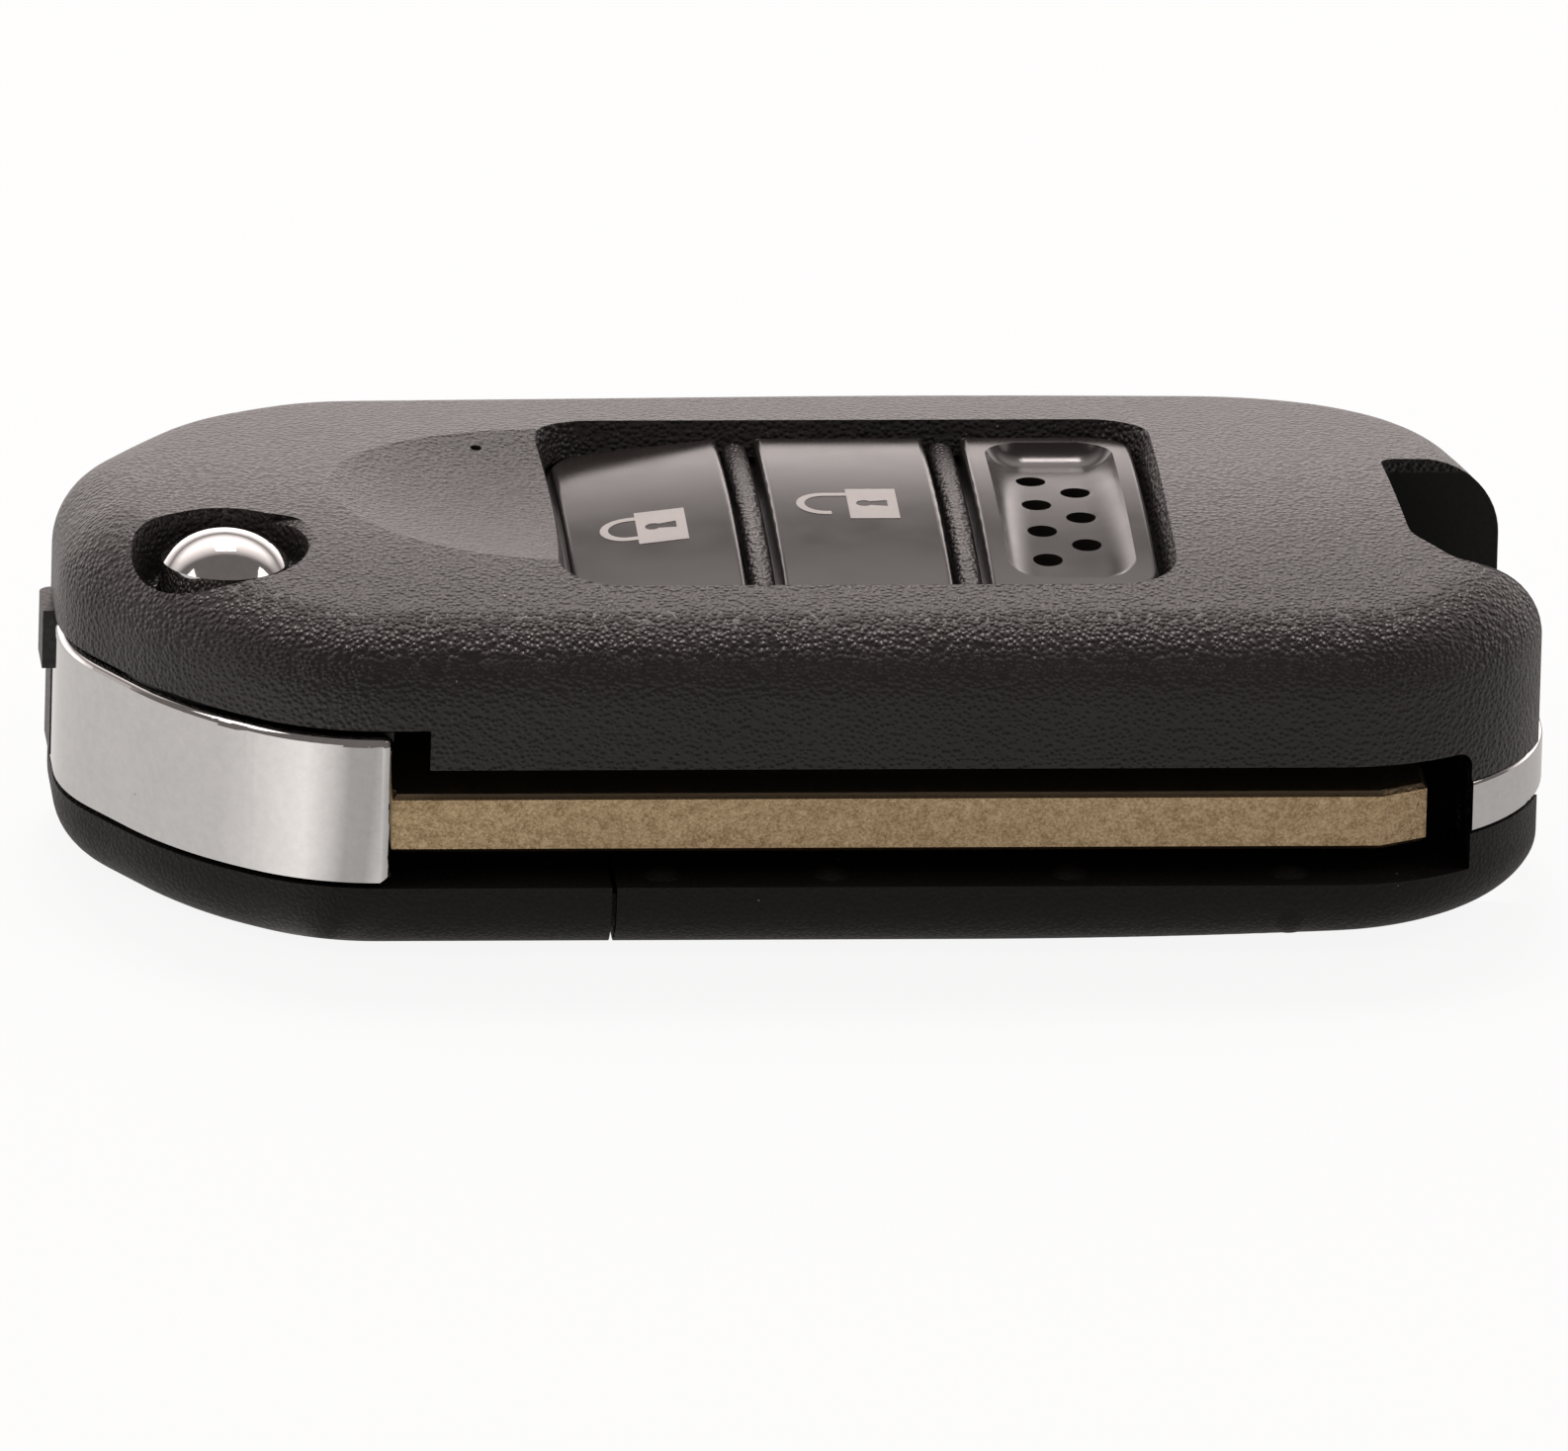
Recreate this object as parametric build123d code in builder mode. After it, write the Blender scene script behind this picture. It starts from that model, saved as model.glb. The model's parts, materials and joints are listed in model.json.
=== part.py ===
from build123d import *
import os
from math import cos, radians, sin, sqrt

os.makedirs("parts", exist_ok=True)

# A folding car key fob, blade folded into its slot. Lengths are in millimetres.
# X runs along the case towards the key ring, -Y is the side of the blade slot, +Z is up.
# The origin is the middle of the underside.

# Case
case_length = 74.5
case_width = 37.4
case_thickness = 18.6
crown_radius = 90.0
horn_proud = 0.5
top_edge_radius = 4.0
bottom_edge_radius = 2.9
case_wall = 1.6
top_wall = 2.3
running_gap = 0.3
seat_gap = 0.1

right_x = (case_length + horn_proud) / 2
left_x = right_x - case_length
front_y = -case_width / 2
back_y = case_width / 2

# Corners of the case in plan, one after another from the front left
front_left_run = 11.9
front_left_radius = 11.0
nose_front_run = 5.3
nose_front_rise = 4.7
nose_front_radius = 20.0
nose_low_y = -5.3
nose_low_radius = 10.0
nose_high_y = 3.7
nose_high_radius = 8.0
nose_back_run = 6.0
nose_back_drop = 5.8
nose_back_radius = 16.0
back_left_run = 12.6
back_left_drop = 1.2
back_left_radius = 11.0
back_crest_x = 8.0
back_crest_radius = 200.0
back_right_run = 5.2
back_right_drop = 0.9
back_right_radius = 14.5
tail_crest_y = -3.4
tail_crest_radius = 30.0
front_right_radius = 11.0
outline = [
    (left_x + front_left_run, front_y, front_left_radius),
    (left_x + nose_front_run, front_y + nose_front_rise, nose_front_radius),
    (left_x, nose_low_y, nose_low_radius),
    (left_x, nose_high_y, nose_high_radius),
    (left_x + nose_back_run, back_y - nose_back_drop, nose_back_radius),
    (left_x + back_left_run, back_y - back_left_drop, back_left_radius),
    (back_crest_x, back_y, back_crest_radius),
    (right_x - back_right_run, back_y - back_right_drop, back_right_radius),
    (right_x, tail_crest_y, tail_crest_radius),
    (right_x, front_y, front_right_radius),
]

# Lower covers and the slot that the blade folds into, under the deck of electronics
cover_height = 3.7
cover_floor = 1.6
cover_split_run = 27.1
cover_split_gap = 0.25
cover_end_rim = 1.85
cover_rise = 1.0
cover_rise_start_x = 8.0
deck_height = 8.6
slot_end_wall = 4.3
slot_end_radius = 0.8
slot_depth = 11.2
slot_corner_run = 2.7
slot_corner_rise = 3.9
rest_bump_radius = 1.05
rest_bump_height = 0.35
rest_bump_runs = [2.5, 11.0, 23.0, 34.0]
rest_bump_inset = 1.9

cover_split_x = left_x + cover_split_run
slot_end_x = right_x - slot_end_wall

# Pivot of the blade and the swinging head that carries it
pivot_inset_x = 8.0
pivot_inset_y = 10.7
head_floor_gap = 0.3
head_height = 7.7
head_roof_gap = 0.4
head_run = 7.9
head_side_rise = 1.8
head_back_run = 2.8
head_back_rise = 7.6
horn_rise = 11.3
horn_width = 3.0
horn_root = 4.0
horn_step = 0.45
horn_step_share = 0.6
horn_corner_radius = 0.7
collar_wall = 0.9
collar_end_rise = 7.8
collar_edge_radius = 0.5
collar_corner_radius = 0.6
bay_wall = 1.2
neck_radius = 5.0
neck_height = 1.5
spigot_radius = 4.6
spigot_height = 1.6
bore_floor_thickness = 1.2
bearing_gap = 0.05

pivot_x = left_x + pivot_inset_x
pivot_y = front_y + pivot_inset_y
head_right_x = pivot_x + head_run
horn_x = left_x - horn_proud
horn_y = pivot_y + horn_rise
collar_end_y = pivot_y + collar_end_rise

# Blade and its pin
blade_thickness = 3.1
blade_width = 8.7
blade_inset = 1.5
blade_lift = 1.3
blade_tip_gap = 2.2
blade_tip_run = 2.4
blade_tip_rise = 1.2
blade_back_run = 2.9
blade_back_rise = 4.6
blade_edge_break = 0.25
tang_length = 5.6
tang_width = 3.6
tang_wall = 0.65
roll_pin_radius = 0.8
roll_pin_inset = 0.8

# Release button: a domed piston that stands in the bore of the head
dome_radius = 3.2
dome_height = 1.4
dome_rim_drop = 1.2
dome_skirt = 2.2
dome_gap = 0.25
piston_flange_radius = 3.9
piston_flange_height = 0.9
piston_shank_radius = 2.6
peg_width = 3.0
peg_length = 4.2
peg_gap = 0.08
release_travel = 1.5
release_recess_depth = 2.0
release_recess_radius = 4.2
release_tail_length = 2.6
release_tail_angle = 25.0
release_tail_radius = 2.6

# Flip spring inside the head
spring_wire_radius = 0.3
spring_turns = 5
spring_mean_radius = 3.4

# Buttons, in a row along X
pad_width = 8.5
pad_depth = 21.0
pad_divider = 1.3
pad_gap = 0.3
pad_count = 3
pad_row_run = 25.45
pad_mid_y = -1.5
pad_corner_radius = 2.2
pad_tilt = 7.0
pad_flange = 0.5
pad_edge_radius = 0.3
pad_drop = 0.7
pad_travel = 0.5
rib_drop = 0.4
rib_edge_radius = 0.6
window_slope_width = 1.8
window_slope_depth = 0.6
grip_rim = 0.6
grip_dish_depth = 0.9
grip_dish_radius = 2.2
grip_corner_radius = 2.5
dimple_radius = 0.75
dimple_depth = 0.5
dimple_pitch_x = 2.1
dimple_pitch_y = 3.6

# Thumb dish in the top of the case, beside the first button
dish_depth = 1.2
dish_reach = 11.8

# Status light
pinhole_radius = 0.3
light_run = 3.85
light_inset = 2.9
light_radius = 0.9
light_height = 2.0

# Key-ring notch and the bow that the ring hangs on
notch_depth = 6.9
notch_inset = 7.9
notch_width = 13.4
notch_flare = 2.4
notch_flare_rise = 3.5
notch_radius = 2.5
notch_back_radius = 0.6
notch_slant = 0.7
notch_wall = 1.2
bow_wall = 1.5
bow_height = 2.8
bow_edge_radius = 0.3
bow_back_run = 9.6

notch_x = right_x - notch_depth
notch_front_y = front_y + notch_inset
notch_back_y = notch_front_y + notch_width
bow_start_x = slot_end_x + seat_gap
bow_back_x = right_x - bow_back_run

# Inner parts
frame_plate = 0.9
frame_wall = 1.0
board_thickness = 0.8
board_gap = 0.3
switch_size = 4.2
switch_height = 1.1
plunger_radius = 1.0
plunger_height = 0.5
membrane_thickness = 0.5
membrane_dome_radius = 2.2
membrane_dome_height = 0.6
membrane_rim = 1.0
battery_radius = 8.0
battery_thickness = 2.0
battery_cap_radius = 6.8
battery_cap_height = 0.3
battery_lift = 1.0
battery_run = 16.1
battery_gap = 0.8
contact_width = 4.0
contact_thickness = 0.25
chip_size = 5.0
chip_height = 0.9
transponder_length = 11.0
transponder_width = 5.6
transponder_height = 2.8
transponder_gap = 0.5
screw_radius = 0.95
screw_head_radius = 1.9
screw_tip_drop = 0.2
screw_sink = 0.6
screw_gap = 0.15
thread_gap = 0.03
screw_boss_radius = 2.6
left_screw_run = 17.9
left_screw_inset = 4.2
right_screw_run = 10.9
right_screw_inset = 6.4

# Levels and places worked out from the sizes above
slot_top = case_thickness - deck_height
slot_height = slot_top - cover_height
slot_back_y = front_y + slot_depth
head_base = cover_height + head_floor_gap
head_top = head_base + head_height
bore_floor = head_base + bore_floor_thickness
bay_roof = head_top + head_roof_gap
head_reach = sqrt((horn_x - pivot_x) ** 2 + (horn_y - pivot_y) ** 2)
bay_radius = head_reach + running_gap
bay_wall_radius = bay_radius + bay_wall
bow_base = cover_height + cover_end_rim
inner_roof = case_thickness - top_wall
dome_rim_z = case_thickness - dome_rim_drop
piston_flange_top = dome_rim_z - dome_skirt
piston_flange_base = piston_flange_top - piston_flange_height
piston_shank_base = bore_floor + release_travel + running_gap
bore_radius = piston_flange_radius + dome_gap
spring_rise = piston_flange_base - bore_floor - 2 * spring_wire_radius - seat_gap
blade_front_y = front_y + blade_inset
blade_back_y = blade_front_y + blade_width
blade_base_z = cover_height + blade_lift
blade_tip_x = slot_end_x - blade_tip_gap
tang_back_y = pivot_y - bore_radius - tang_wall
roll_pin_x = head_right_x - tang_length / 2
roll_pin_y = tang_back_y - tang_width / 2
board_base = slot_top + frame_plate
board_top = board_base + board_thickness
switch_top = board_top + switch_height + plunger_height
membrane_base = switch_top + seat_gap / 2
membrane_top = membrane_base + membrane_thickness
pad_base = membrane_top + membrane_dome_height + pad_travel + seat_gap
pad_flange_height = inner_roof - running_gap - pad_base
pad_top = case_thickness - pad_drop
pad_row_start_x = left_x + pad_row_run
pad_pitch = pad_width + pad_divider + 2 * pad_gap
pad_centres = [pad_row_start_x + pad_width / 2 + n * pad_pitch for n in range(pad_count)]
pad_front_y = pad_mid_y - pad_depth / 2
pad_back_y = pad_mid_y + pad_depth / 2
row_width = pad_count * pad_pitch - pad_divider - 2 * pad_gap
row_centre_x = pad_row_start_x + row_width / 2
light_x = pad_row_start_x - light_run
light_y = pad_back_y - light_inset
battery_base = cover_floor + battery_lift
battery_x = notch_x - battery_run
battery_y = slot_back_y + frame_wall + battery_gap + battery_radius
pivot_cover_end_x = cover_split_x - cover_split_gap / 2
cover_end_x = cover_split_x + cover_split_gap / 2
pocket_front_y = slot_back_y + frame_wall + 2 * seat_gap
transponder_x = cover_end_x + case_wall + transponder_gap + transponder_width / 2
transponder_y = battery_y
thread_radius = screw_radius - thread_gap
screw_places = [
    (left_x + left_screw_run, back_y - left_screw_inset),
    (right_x - right_screw_run, back_y - right_screw_inset),
]


def case_plan(inset=0.0):
    """Plan outline of the case, moved inwards by inset"""
    with BuildSketch() as plan:
        with BuildLine():
            FilletPolyline(
                *[(x, y) for x, y, radius in outline],
                radius=[radius for x, y, radius in outline],
                close=True,
            )
        make_face()
        if inset:
            offset(amount=-inset, kind=Kind.INTERSECTION)
    return plan.sketch


def crown_drop(y):
    """How far the crown has fallen at y from its crest on the middle line"""
    return crown_radius - sqrt(crown_radius**2 - y**2)


def under_crown(crest):
    """Long block that fills all below a crowned surface with its crest at the height given"""
    with BuildPart() as block:
        with BuildSketch(Plane.YZ.offset(-case_length)):
            with Locations((0, crest - crown_radius)):
                Circle(crown_radius)
        extrude(amount=2 * case_length)
    return block.part


def notch_plan(margin=0.0):
    """Plan of the key-ring notch, grown by margin"""
    with BuildSketch() as plan:
        with BuildLine():
            FilletPolyline(
                (right_x + notch_depth, notch_back_y),
                (notch_x - notch_slant, notch_back_y),
                (notch_x, notch_front_y + notch_flare_rise),
                (notch_x + notch_flare, notch_front_y),
                (right_x + notch_depth, notch_front_y),
                radius=[0, notch_back_radius, notch_radius, notch_radius, 0],
                close=True,
            )
        make_face()
        if margin:
            offset(amount=margin, kind=Kind.INTERSECTION)
    return plan.sketch


def slot_plan():
    """Plan of the blade slot, open to the front"""
    with BuildSketch() as plan:
        with BuildLine():
            Polyline(
                (head_right_x, front_y - slot_depth),
                (slot_end_x, front_y - slot_depth),
                (slot_end_x, slot_back_y - slot_corner_rise),
                (slot_end_x - slot_corner_run, slot_back_y),
                (head_right_x, slot_back_y),
                close=True,
            )
        make_face()
    return plan.sketch


def slot_room():
    """Room of the blade slot, with the upper corner of its end rounded"""
    with BuildPart() as room:
        with BuildSketch(Plane.XY.offset(cover_height)):
            add(slot_plan())
        extrude(amount=slot_height)
        corner = room.faces().sort_by(Axis.Z)[-1].edges().filter_by(Axis.Y).sort_by(Axis.X)[-1]
        fillet(corner, radius=slot_end_radius)
    return room.part


def inner_plan(clearance=0.0):
    """Plan of the hollow inside the case, outside the pivot bay and the notch"""
    with BuildSketch() as plan:
        add(case_plan(case_wall + clearance))
        with Locations((pivot_x, pivot_y)):
            Circle(bay_wall_radius + clearance, mode=Mode.SUBTRACT)
        with Locations((slot_end_x, slot_back_y)):
            Rectangle(
                case_width, case_width, align=(Align.MIN, Align.MAX), mode=Mode.SUBTRACT
            )
        add(notch_plan(notch_wall + clearance), mode=Mode.SUBTRACT)
    return plan.sketch


def row_plan(grow=0.0):
    """Plan of the whole row of buttons, grown by grow"""
    with BuildSketch() as plan:
        with Locations((row_centre_x, pad_mid_y)):
            RectangleRounded(
                row_width + 2 * grow, pad_depth + 2 * grow, pad_corner_radius + grow
            )
    return plan.sketch


def pad_plan(centre_x, grow=0.0):
    """Plan of one button, rounded at the ends of the row and grown by grow"""
    with BuildSketch() as plan:
        with Locations((centre_x, pad_mid_y)):
            Rectangle(pad_width + 2 * grow, pad_depth + 2 * grow)
        add(row_plan(grow), mode=Mode.INTERSECT)
    return plan.sketch


def bow_plan(start_x, wall, proud=0.0):
    """Plan of a strip round the end of the case, wall wide and proud of the outline"""
    with BuildSketch() as plan:
        add(case_plan(-proud))
        add(case_plan(wall), mode=Mode.SUBTRACT)
        with Locations((start_x, 0)):
            Rectangle(
                case_length * 2, case_width, align=(Align.MAX, Align.MAX), mode=Mode.SUBTRACT
            )
        with Locations((bow_back_x, 0)):
            Rectangle(
                case_length * 2, case_width, align=(Align.MAX, Align.MIN), mode=Mode.SUBTRACT
            )
    return plan.sketch


# Head region in plan: the part of the case outline in front of the pivot, and the horn behind
with BuildSketch() as head_plan:
    add(case_plan())
    with BuildLine():
        Polyline(
            (horn_x, collar_end_y - horn_root),
            (horn_x, horn_y),
            (horn_x + horn_width, horn_y),
            (horn_x + horn_width + horn_root, collar_end_y - horn_root),
            close=True,
        )
    make_face()
    with BuildLine():
        Polyline(
            (head_right_x, front_y - slot_depth),
            (left_x - slot_depth, front_y - slot_depth),
            (left_x - slot_depth, horn_y),
            (horn_x + horn_width, horn_y),
            (pivot_x + head_back_run, pivot_y + head_back_rise),
            (head_right_x, pivot_y + head_side_rise),
            close=True,
        )
    make_face(mode=Mode.INTERSECT)

# Band of the head that the chrome collar covers
with BuildSketch() as collar_plan:
    add(head_plan.sketch)
    add(case_plan(collar_wall), mode=Mode.SUBTRACT)
    with Locations((left_x, collar_end_y)):
        Rectangle(
            case_width, case_width, align=(Align.CENTER, Align.MIN), mode=Mode.SUBTRACT
        )


def divider(centre_x):
    """Rounded rib between two buttons, which follows their crown"""
    with BuildPart() as rib:
        with BuildSketch(Plane.XY.offset(inner_roof)):
            with Locations((centre_x, pad_mid_y)):
                Rectangle(pad_divider, pad_depth + 2 * pad_gap)
        extrude(amount=case_thickness)
        add(under_crown(pad_top - rib_drop), mode=Mode.INTERSECT)
        long_edges = rib.faces().sort_by(Axis.Z)[-1].edges().filter_by(GeomType.CIRCLE)
        fillet(long_edges, radius=rib_edge_radius)
    return rib.part


# Upper shell
with BuildPart() as upper_shell:
    with BuildSketch(Plane.XY.offset(cover_height)):
        add(case_plan())
    extrude(amount=case_thickness - cover_height)
    add(under_crown(case_thickness), mode=Mode.INTERSECT)
    top_face = upper_shell.faces().sort_by(Axis.Z)[-1]
    fillet(top_face.edges(), radius=top_edge_radius)

    # Button window, with a shallow slope round it
    with BuildSketch(Plane.XY.offset(inner_roof - 0.5)):
        add(row_plan(pad_gap))
    extrude(amount=case_thickness, mode=Mode.SUBTRACT)
    top_face = upper_shell.faces().sort_by(Axis.Z)[-1]
    chamfer(
        top_face.inner_wires()[0].edges(),
        length=window_slope_depth,
        length2=window_slope_width,
        reference=top_face,
    )

    # Hollow for the electronics
    with BuildPart(mode=Mode.PRIVATE) as hollow:
        with BuildSketch(Plane.XY.offset(cover_height)):
            add(inner_plan())
        extrude(amount=inner_roof - cover_height)
        add(under_crown(case_thickness - case_wall), mode=Mode.INTERSECT)
    add(hollow.part, mode=Mode.SUBTRACT)

    # Bosses for the case screws
    with BuildSketch(Plane.XY.offset(cover_height)):
        with Locations(*screw_places):
            Circle(screw_boss_radius)
        add(case_plan(), mode=Mode.INTERSECT)
    extrude(amount=slot_height)

    # Bay that the head swings in
    with BuildSketch(Plane.XY.offset(cover_height)):
        with Locations((pivot_x, pivot_y)):
            Circle(bay_radius)
    extrude(amount=bay_roof - cover_height, mode=Mode.SUBTRACT)

    # Blade slot through the front wall
    add(slot_room(), mode=Mode.SUBTRACT)

    # Room for the raised end of the rear cover
    with BuildSketch(Plane.XY.offset(cover_height)):
        with Locations((slot_end_x, 0)):
            Rectangle(case_width, case_width * 2, align=(Align.MIN, Align.CENTER))
    extrude(amount=cover_end_rim, mode=Mode.SUBTRACT)

    # Bearing for the neck of the head, the room for the flange and the hole for the dome
    with BuildSketch(Plane.XY.offset(bay_roof)):
        with Locations((pivot_x, pivot_y)):
            Circle(neck_radius + bearing_gap)
    extrude(amount=head_top + neck_height + running_gap - bay_roof, mode=Mode.SUBTRACT)
    with BuildSketch(Plane.XY.offset(bay_roof)):
        with Locations((pivot_x, pivot_y)):
            Circle(bore_radius)
    extrude(amount=piston_flange_top + seat_gap / 2 - bay_roof, mode=Mode.SUBTRACT)
    with BuildSketch(Plane.XY.offset(bay_roof)):
        with Locations((pivot_x, pivot_y)):
            Circle(dome_radius + dome_gap)
    extrude(amount=case_thickness, mode=Mode.SUBTRACT)

    # Teardrop recess round the dome, its floor rising along the tail
    recess_floor = case_thickness - release_recess_depth
    with BuildSketch(Plane.XY.offset(recess_floor)):
        with Locations((pivot_x, pivot_y)):
            Circle(release_recess_radius)
    extrude(amount=case_thickness, mode=Mode.SUBTRACT)
    tail_slope = release_recess_depth / (release_tail_length + release_tail_radius)
    tail_along = Vector(cos(radians(release_tail_angle)), sin(radians(release_tail_angle)), 0)
    tail_plane = Plane(
        origin=(pivot_x, pivot_y, recess_floor),
        x_dir=tail_along + Vector(0, 0, tail_slope),
        z_dir=Vector(0, 0, 1) - tail_along * tail_slope,
    )
    with BuildSketch(tail_plane):
        Circle(release_recess_radius)
        with Locations((release_tail_length, 0)):
            Circle(release_tail_radius)
        make_hull()
    extrude(amount=case_thickness, mode=Mode.SUBTRACT)

    # Thumb dish beside the first button
    dish_radius = (dish_reach**2 + dish_depth**2) / (2 * dish_depth)
    with Locations((pad_row_start_x, pad_mid_y, case_thickness + dish_radius - dish_depth)):
        Sphere(dish_radius, mode=Mode.SUBTRACT)

    # Rounded ribs between the buttons
    for rib in range(pad_count - 1):
        add(divider(pad_centres[rib] + pad_pitch / 2))

    # Key-ring notch and the groove that the bow lies in
    with BuildSketch(Plane.XY):
        add(notch_plan())
    extrude(amount=case_thickness * 2, mode=Mode.SUBTRACT)
    with BuildSketch(Plane.XY.offset(bow_base)):
        add(bow_plan(slot_end_x, bow_wall + seat_gap / 2, proud=1.0))
    extrude(amount=bow_height + seat_gap / 2, mode=Mode.SUBTRACT)

    # Pinhole of the status light and the pilot holes of the case screws
    with BuildSketch(Plane.XY.offset(inner_roof - 1)):
        with Locations((light_x, light_y)):
            Circle(pinhole_radius)
    extrude(amount=top_wall + 2, mode=Mode.SUBTRACT)
    with BuildSketch(Plane.XY.offset(cover_height)):
        with Locations(*screw_places):
            Circle(screw_radius)
    extrude(amount=slot_height, mode=Mode.SUBTRACT)
upper_shell.part.label = "upper_shell"
export_step(upper_shell.part, "parts/upper_shell.step")


def lower_case():
    """Lower half of the case, both covers in one piece"""
    with BuildPart() as body:
        with BuildSketch(Plane.XY):
            add(case_plan())
        extrude(amount=cover_height)
        with BuildSketch(Plane.XY.offset(cover_height)):
            add(case_plan())
            with Locations((slot_end_x, 0)):
                Rectangle(
                    case_length,
                    case_width * 2,
                    align=(Align.MIN, Align.CENTER),
                    mode=Mode.INTERSECT,
                )
        extrude(amount=cover_end_rim)
        with BuildSketch(Plane.XZ.offset(-case_width)):
            with BuildLine():
                TangentArc(
                    (cover_rise_start_x, 0), (right_x + 0.5, cover_rise), tangent=(1, 0)
                )
                Polyline(
                    (right_x + 0.5, cover_rise), (right_x + 0.5, -1), (cover_rise_start_x, -1),
                    (cover_rise_start_x, 0),
                )
            make_face()
        extrude(amount=case_width * 2, mode=Mode.SUBTRACT)
        under_faces = body.faces().filter_by(lambda face: face.normal_at().Z < -0.99)
        seam_x = cover_rise_start_x
        rim_edges = under_faces.edges().filter_by(
            lambda edge: abs(edge.center().X - seam_x) > 0.01 or abs(edge.center().Y) > 1
        )
        fillet(rim_edges, radius=bottom_edge_radius)
    return body.part


def screw_room(place):
    """Sunk and countersunk room for a case screw, cut from a cover"""
    cone_height = screw_head_radius - screw_radius
    with BuildPart() as room:
        with BuildSketch(
            Plane(origin=(place[0], place[1], 0), x_dir=(1, 0, 0), z_dir=(0, -1, 0))
        ):
            with BuildLine():
                Polyline(
                    (0, -1),
                    (screw_head_radius + screw_gap, -1),
                    (screw_head_radius + screw_gap, screw_sink),
                    (screw_radius + screw_gap, screw_sink + cone_height),
                    (screw_radius + screw_gap, cover_height + 1),
                    (0, cover_height + 1),
                    close=True,
                )
            make_face()
        revolve(axis=Axis((place[0], place[1], 0), (0, 0, 1)))
    return room.part


lower_body = lower_case()

# Pivot cover, the left part of the lower case
with BuildPart() as pivot_cover:
    add(lower_body)
    with Locations((pivot_cover_end_x, 0, 0)):
        Box(
            case_length * 2,
            case_width * 2,
            case_thickness * 2,
            align=(Align.MIN, Align.CENTER, Align.CENTER),
            mode=Mode.SUBTRACT,
        )

    # Pocket under the electronics, with the seat of the case screw
    with BuildSketch(Plane.XY.offset(cover_floor)):
        add(inner_plan())
        with Locations((pivot_cover_end_x - case_wall, pocket_front_y)):
            Rectangle(
                case_length, case_width, align=(Align.MAX, Align.MIN), mode=Mode.INTERSECT
            )
        with Locations(screw_places[0]):
            Circle(screw_boss_radius, mode=Mode.SUBTRACT)
    extrude(amount=cover_height, mode=Mode.SUBTRACT)

    # Recess that the spigot of the head turns in
    with BuildSketch(Plane.XY.offset(head_base - spigot_height - running_gap)):
        with Locations((pivot_x, pivot_y)):
            Circle(spigot_radius + bearing_gap)
    extrude(amount=cover_height, mode=Mode.SUBTRACT)
    add(screw_room(screw_places[0]), mode=Mode.SUBTRACT)
pivot_cover.part.label = "pivot_cover"
export_step(pivot_cover.part, "parts/pivot_cover.step")

# Rear cover, the right part of the lower case, over the battery
with BuildPart() as rear_cover:
    add(lower_body)
    with Locations((cover_end_x, 0, 0)):
        Box(
            case_length * 2,
            case_width * 2,
            case_thickness * 2,
            align=(Align.MAX, Align.CENTER, Align.CENTER),
            mode=Mode.SUBTRACT,
        )
    with BuildSketch(Plane.XY.offset(-1)):
        add(notch_plan())
    extrude(amount=case_thickness, mode=Mode.SUBTRACT)

    # Pocket under the electronics, with the seat of the case screw
    with BuildSketch(Plane.XY.offset(cover_floor)):
        add(inner_plan())
        with Locations((cover_end_x + case_wall, pocket_front_y)):
            Rectangle(
                case_length, case_width, align=(Align.MIN, Align.MIN), mode=Mode.INTERSECT
            )
        with Locations(screw_places[1]):
            Circle(screw_boss_radius, mode=Mode.SUBTRACT)
    extrude(amount=case_thickness, mode=Mode.SUBTRACT)

    # Ring that the battery rests on, open on one side for its lower contact
    with BuildSketch(Plane.XY.offset(cover_floor)):
        with Locations((battery_x, battery_y)):
            Circle(battery_radius)
            Circle(battery_cap_radius + running_gap, mode=Mode.SUBTRACT)
        with Locations((battery_x - battery_radius, battery_y)):
            Rectangle(battery_radius, contact_width + 2 * running_gap, mode=Mode.SUBTRACT)
    extrude(amount=battery_base - cover_floor + battery_cap_height)

    # Round rests along the front of the slot
    bump_sphere = (rest_bump_radius**2 + rest_bump_height**2) / (2 * rest_bump_height)
    bump_z = cover_height + rest_bump_height - bump_sphere
    for bump_run in rest_bump_runs:
        with Locations((cover_split_x + bump_run, front_y + rest_bump_inset, bump_z)):
            Sphere(bump_sphere)
    add(screw_room(screw_places[1]), mode=Mode.SUBTRACT)
rear_cover.part.label = "rear_cover"
export_step(rear_cover.part, "parts/rear_cover.step")

# Inner frame: roof and back wall of the blade slot, under the circuit board
with BuildPart() as inner_frame:
    with BuildSketch(Plane.XY.offset(cover_height)):
        add(slot_plan())
        offset(amount=frame_wall, kind=Kind.INTERSECTION)
        add(inner_plan(seat_gap), mode=Mode.INTERSECT)
    extrude(amount=slot_height + frame_plate)
    with BuildSketch(Plane.XY.offset(cover_height)):
        add(slot_plan())
    extrude(amount=slot_height, mode=Mode.SUBTRACT)
inner_frame.part.label = "inner_frame"
export_step(inner_frame.part, "parts/inner_frame.step")

# Bow: the metal strip round the end of the case, which the key ring hangs on
with BuildPart() as key_ring_bow:
    with BuildSketch(Plane.XY.offset(bow_base)):
        add(bow_plan(bow_start_x, bow_wall))
    extrude(amount=bow_height)
    fillet(key_ring_bow.edges().filter_by(GeomType.CIRCLE), radius=bow_edge_radius)
key_ring_bow.part.label = "key_ring_bow"
export_step(key_ring_bow.part, "parts/key_ring_bow.step")

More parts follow.
